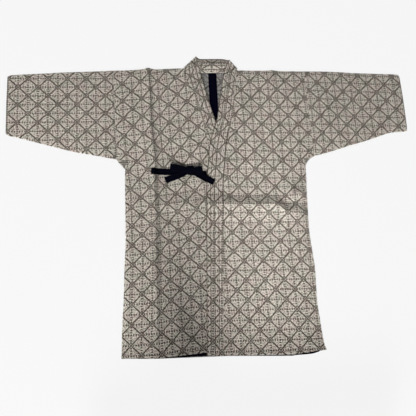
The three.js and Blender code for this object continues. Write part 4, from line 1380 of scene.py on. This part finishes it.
def add_flags():
    """Cards that shade the hem and the lower middle of the jacket from the key light, out of view. They are
    matt grey board, which throws back about a quarter of the light."""
    bm = bmesh.new()
    for flag in FLAGS:
        card = bmesh.ops.create_grid(bm, x_segments=1, y_segments=1, size=0.5)["verts"]
        for corner in card:
            end, wide, up = ("head_x", "narrow", flag["high"]) if corner.co.y > 0 else ("foot_x", "wide", 0)
            corner.co = (flag[end] + corner.co.x * flag[wide], FLAG_Y, up)
    material, tree = new_material("grey_card")
    close_material(tree, add(tree, "BsdfPrincipled", {"Base Color": linear("#8c8c8c"), "Roughness": 1}))
    put_stage("flags", bm, material).visible_camera = False


def add_studio():
    world = bpy.data.worlds.new("studio")
    bpy.context.scene.world = world
    world.use_nodes = True
    background = world.node_tree.nodes["Background"]
    background.inputs["Color"].default_value = linear("#fbfbfd")
    background.inputs["Strength"].default_value = ROOM_GLOW
    add_lamps()
    add_pool()
    add_flags()
    bpy.context.scene.view_settings.view_transform = "Standard"


# Putting it together

add_camera()
add_floor()
add_studio()

OUTER_CLOTH = dict(ground="#71725f", ground_warm="#8f736d", ground_light="#f2ecdf", yarn="#271107")
# Rows of sewing up from the hem. The row at the hem's very edge is painted shade of the folded edge, drawn
# dashed like stitching.
HEM_SEWING_AND_EDGE_SHADE = table("inset strength", (1.2, 0.35), (9, 0.5))
SIDE_SEWING = table("inset strength", (17, 0.42))
# Rows of sewing in from the cuff. The row at the cuff's very edge is painted shade of the edge rolling away,
# drawn dashed like stitching. The row at the armhole is the seam's stitching, darkened with painted shade of
# the seam.
SLEEVE_SEWING_AND_EDGE_SHADE = table("inset strength", (1, 0.6), (21, 0.45), (314, 0.5))
body_cloth = sashiko("sashiko_cotton_body", **OUTER_CLOTH, across_sewing_and_shade=SIDE_SEWING, along_sewing_and_shade=HEM_SEWING_AND_EDGE_SHADE)
sleeve_cloth = sashiko("sashiko_cotton_sleeve", **OUTER_CLOTH, across_sewing_and_shade=SLEEVE_SEWING_AND_EDGE_SHADE)
collar_cloth = sashiko("sashiko_cotton_collar", **OUTER_CLOTH, across_sewing_and_shade=COLLAR_SEWING_AND_EDGE_SHADE,
                       sewing_half=1.6)
gusset_cloth = sashiko("sashiko_cotton_gusset", ground="#bbb5a9", ground_warm="#bdb3a8",
                       ground_light="#d6d0c4", yarn="#2f2a24")
# The wrong side's ground is set darker than the outer side's as painted shade, for the inside of the back,
# which lies in shade at the neck.
wrong_side_painted_shade = sashiko("sashiko_cotton_wrong_side", ground="#6a6866", ground_warm="#6f6967",
                     ground_light="#b6b4b0", yarn="#2c2723", strength=0.8)
tape_cotton = navy_webbing("navy_twill_tape", "#00000a", "#070620", rib=2.2)
tie_cotton = navy_webbing("navy_tie_cotton", "#000107", "#06081b", rib=2.6)

halves = {side: add_body_half(side, body_cloth, wrong_side_painted_shade) for side in TOWARD}
sleeves = {side: add_sleeve(side, sleeve_cloth, wrong_side_painted_shade) for side in TOWARD}
gussets = {side: add_gusset(side, gusset_cloth, wrong_side_painted_shade) for side in TOWARD}
collar = add_collar(collar_cloth)
hem_tape = add_tape("hem_tape_cloth", "hem_tape", *HEM_TAPE_ENDS, hem_tape_edge, tape_cotton)
centre_foot = back_hem(0) + HEM_TAPE_INSET + TAPE_WIDTH + 1
centre_tape = add_tape("centre_back_tape_cloth", "centre_back_tape", centre_foot, NECK_BACK - 1,
                       centre_tape_edge, tape_cotton)
knot = add_knot(tie_cotton)
ties = add_bow(tie_cotton)
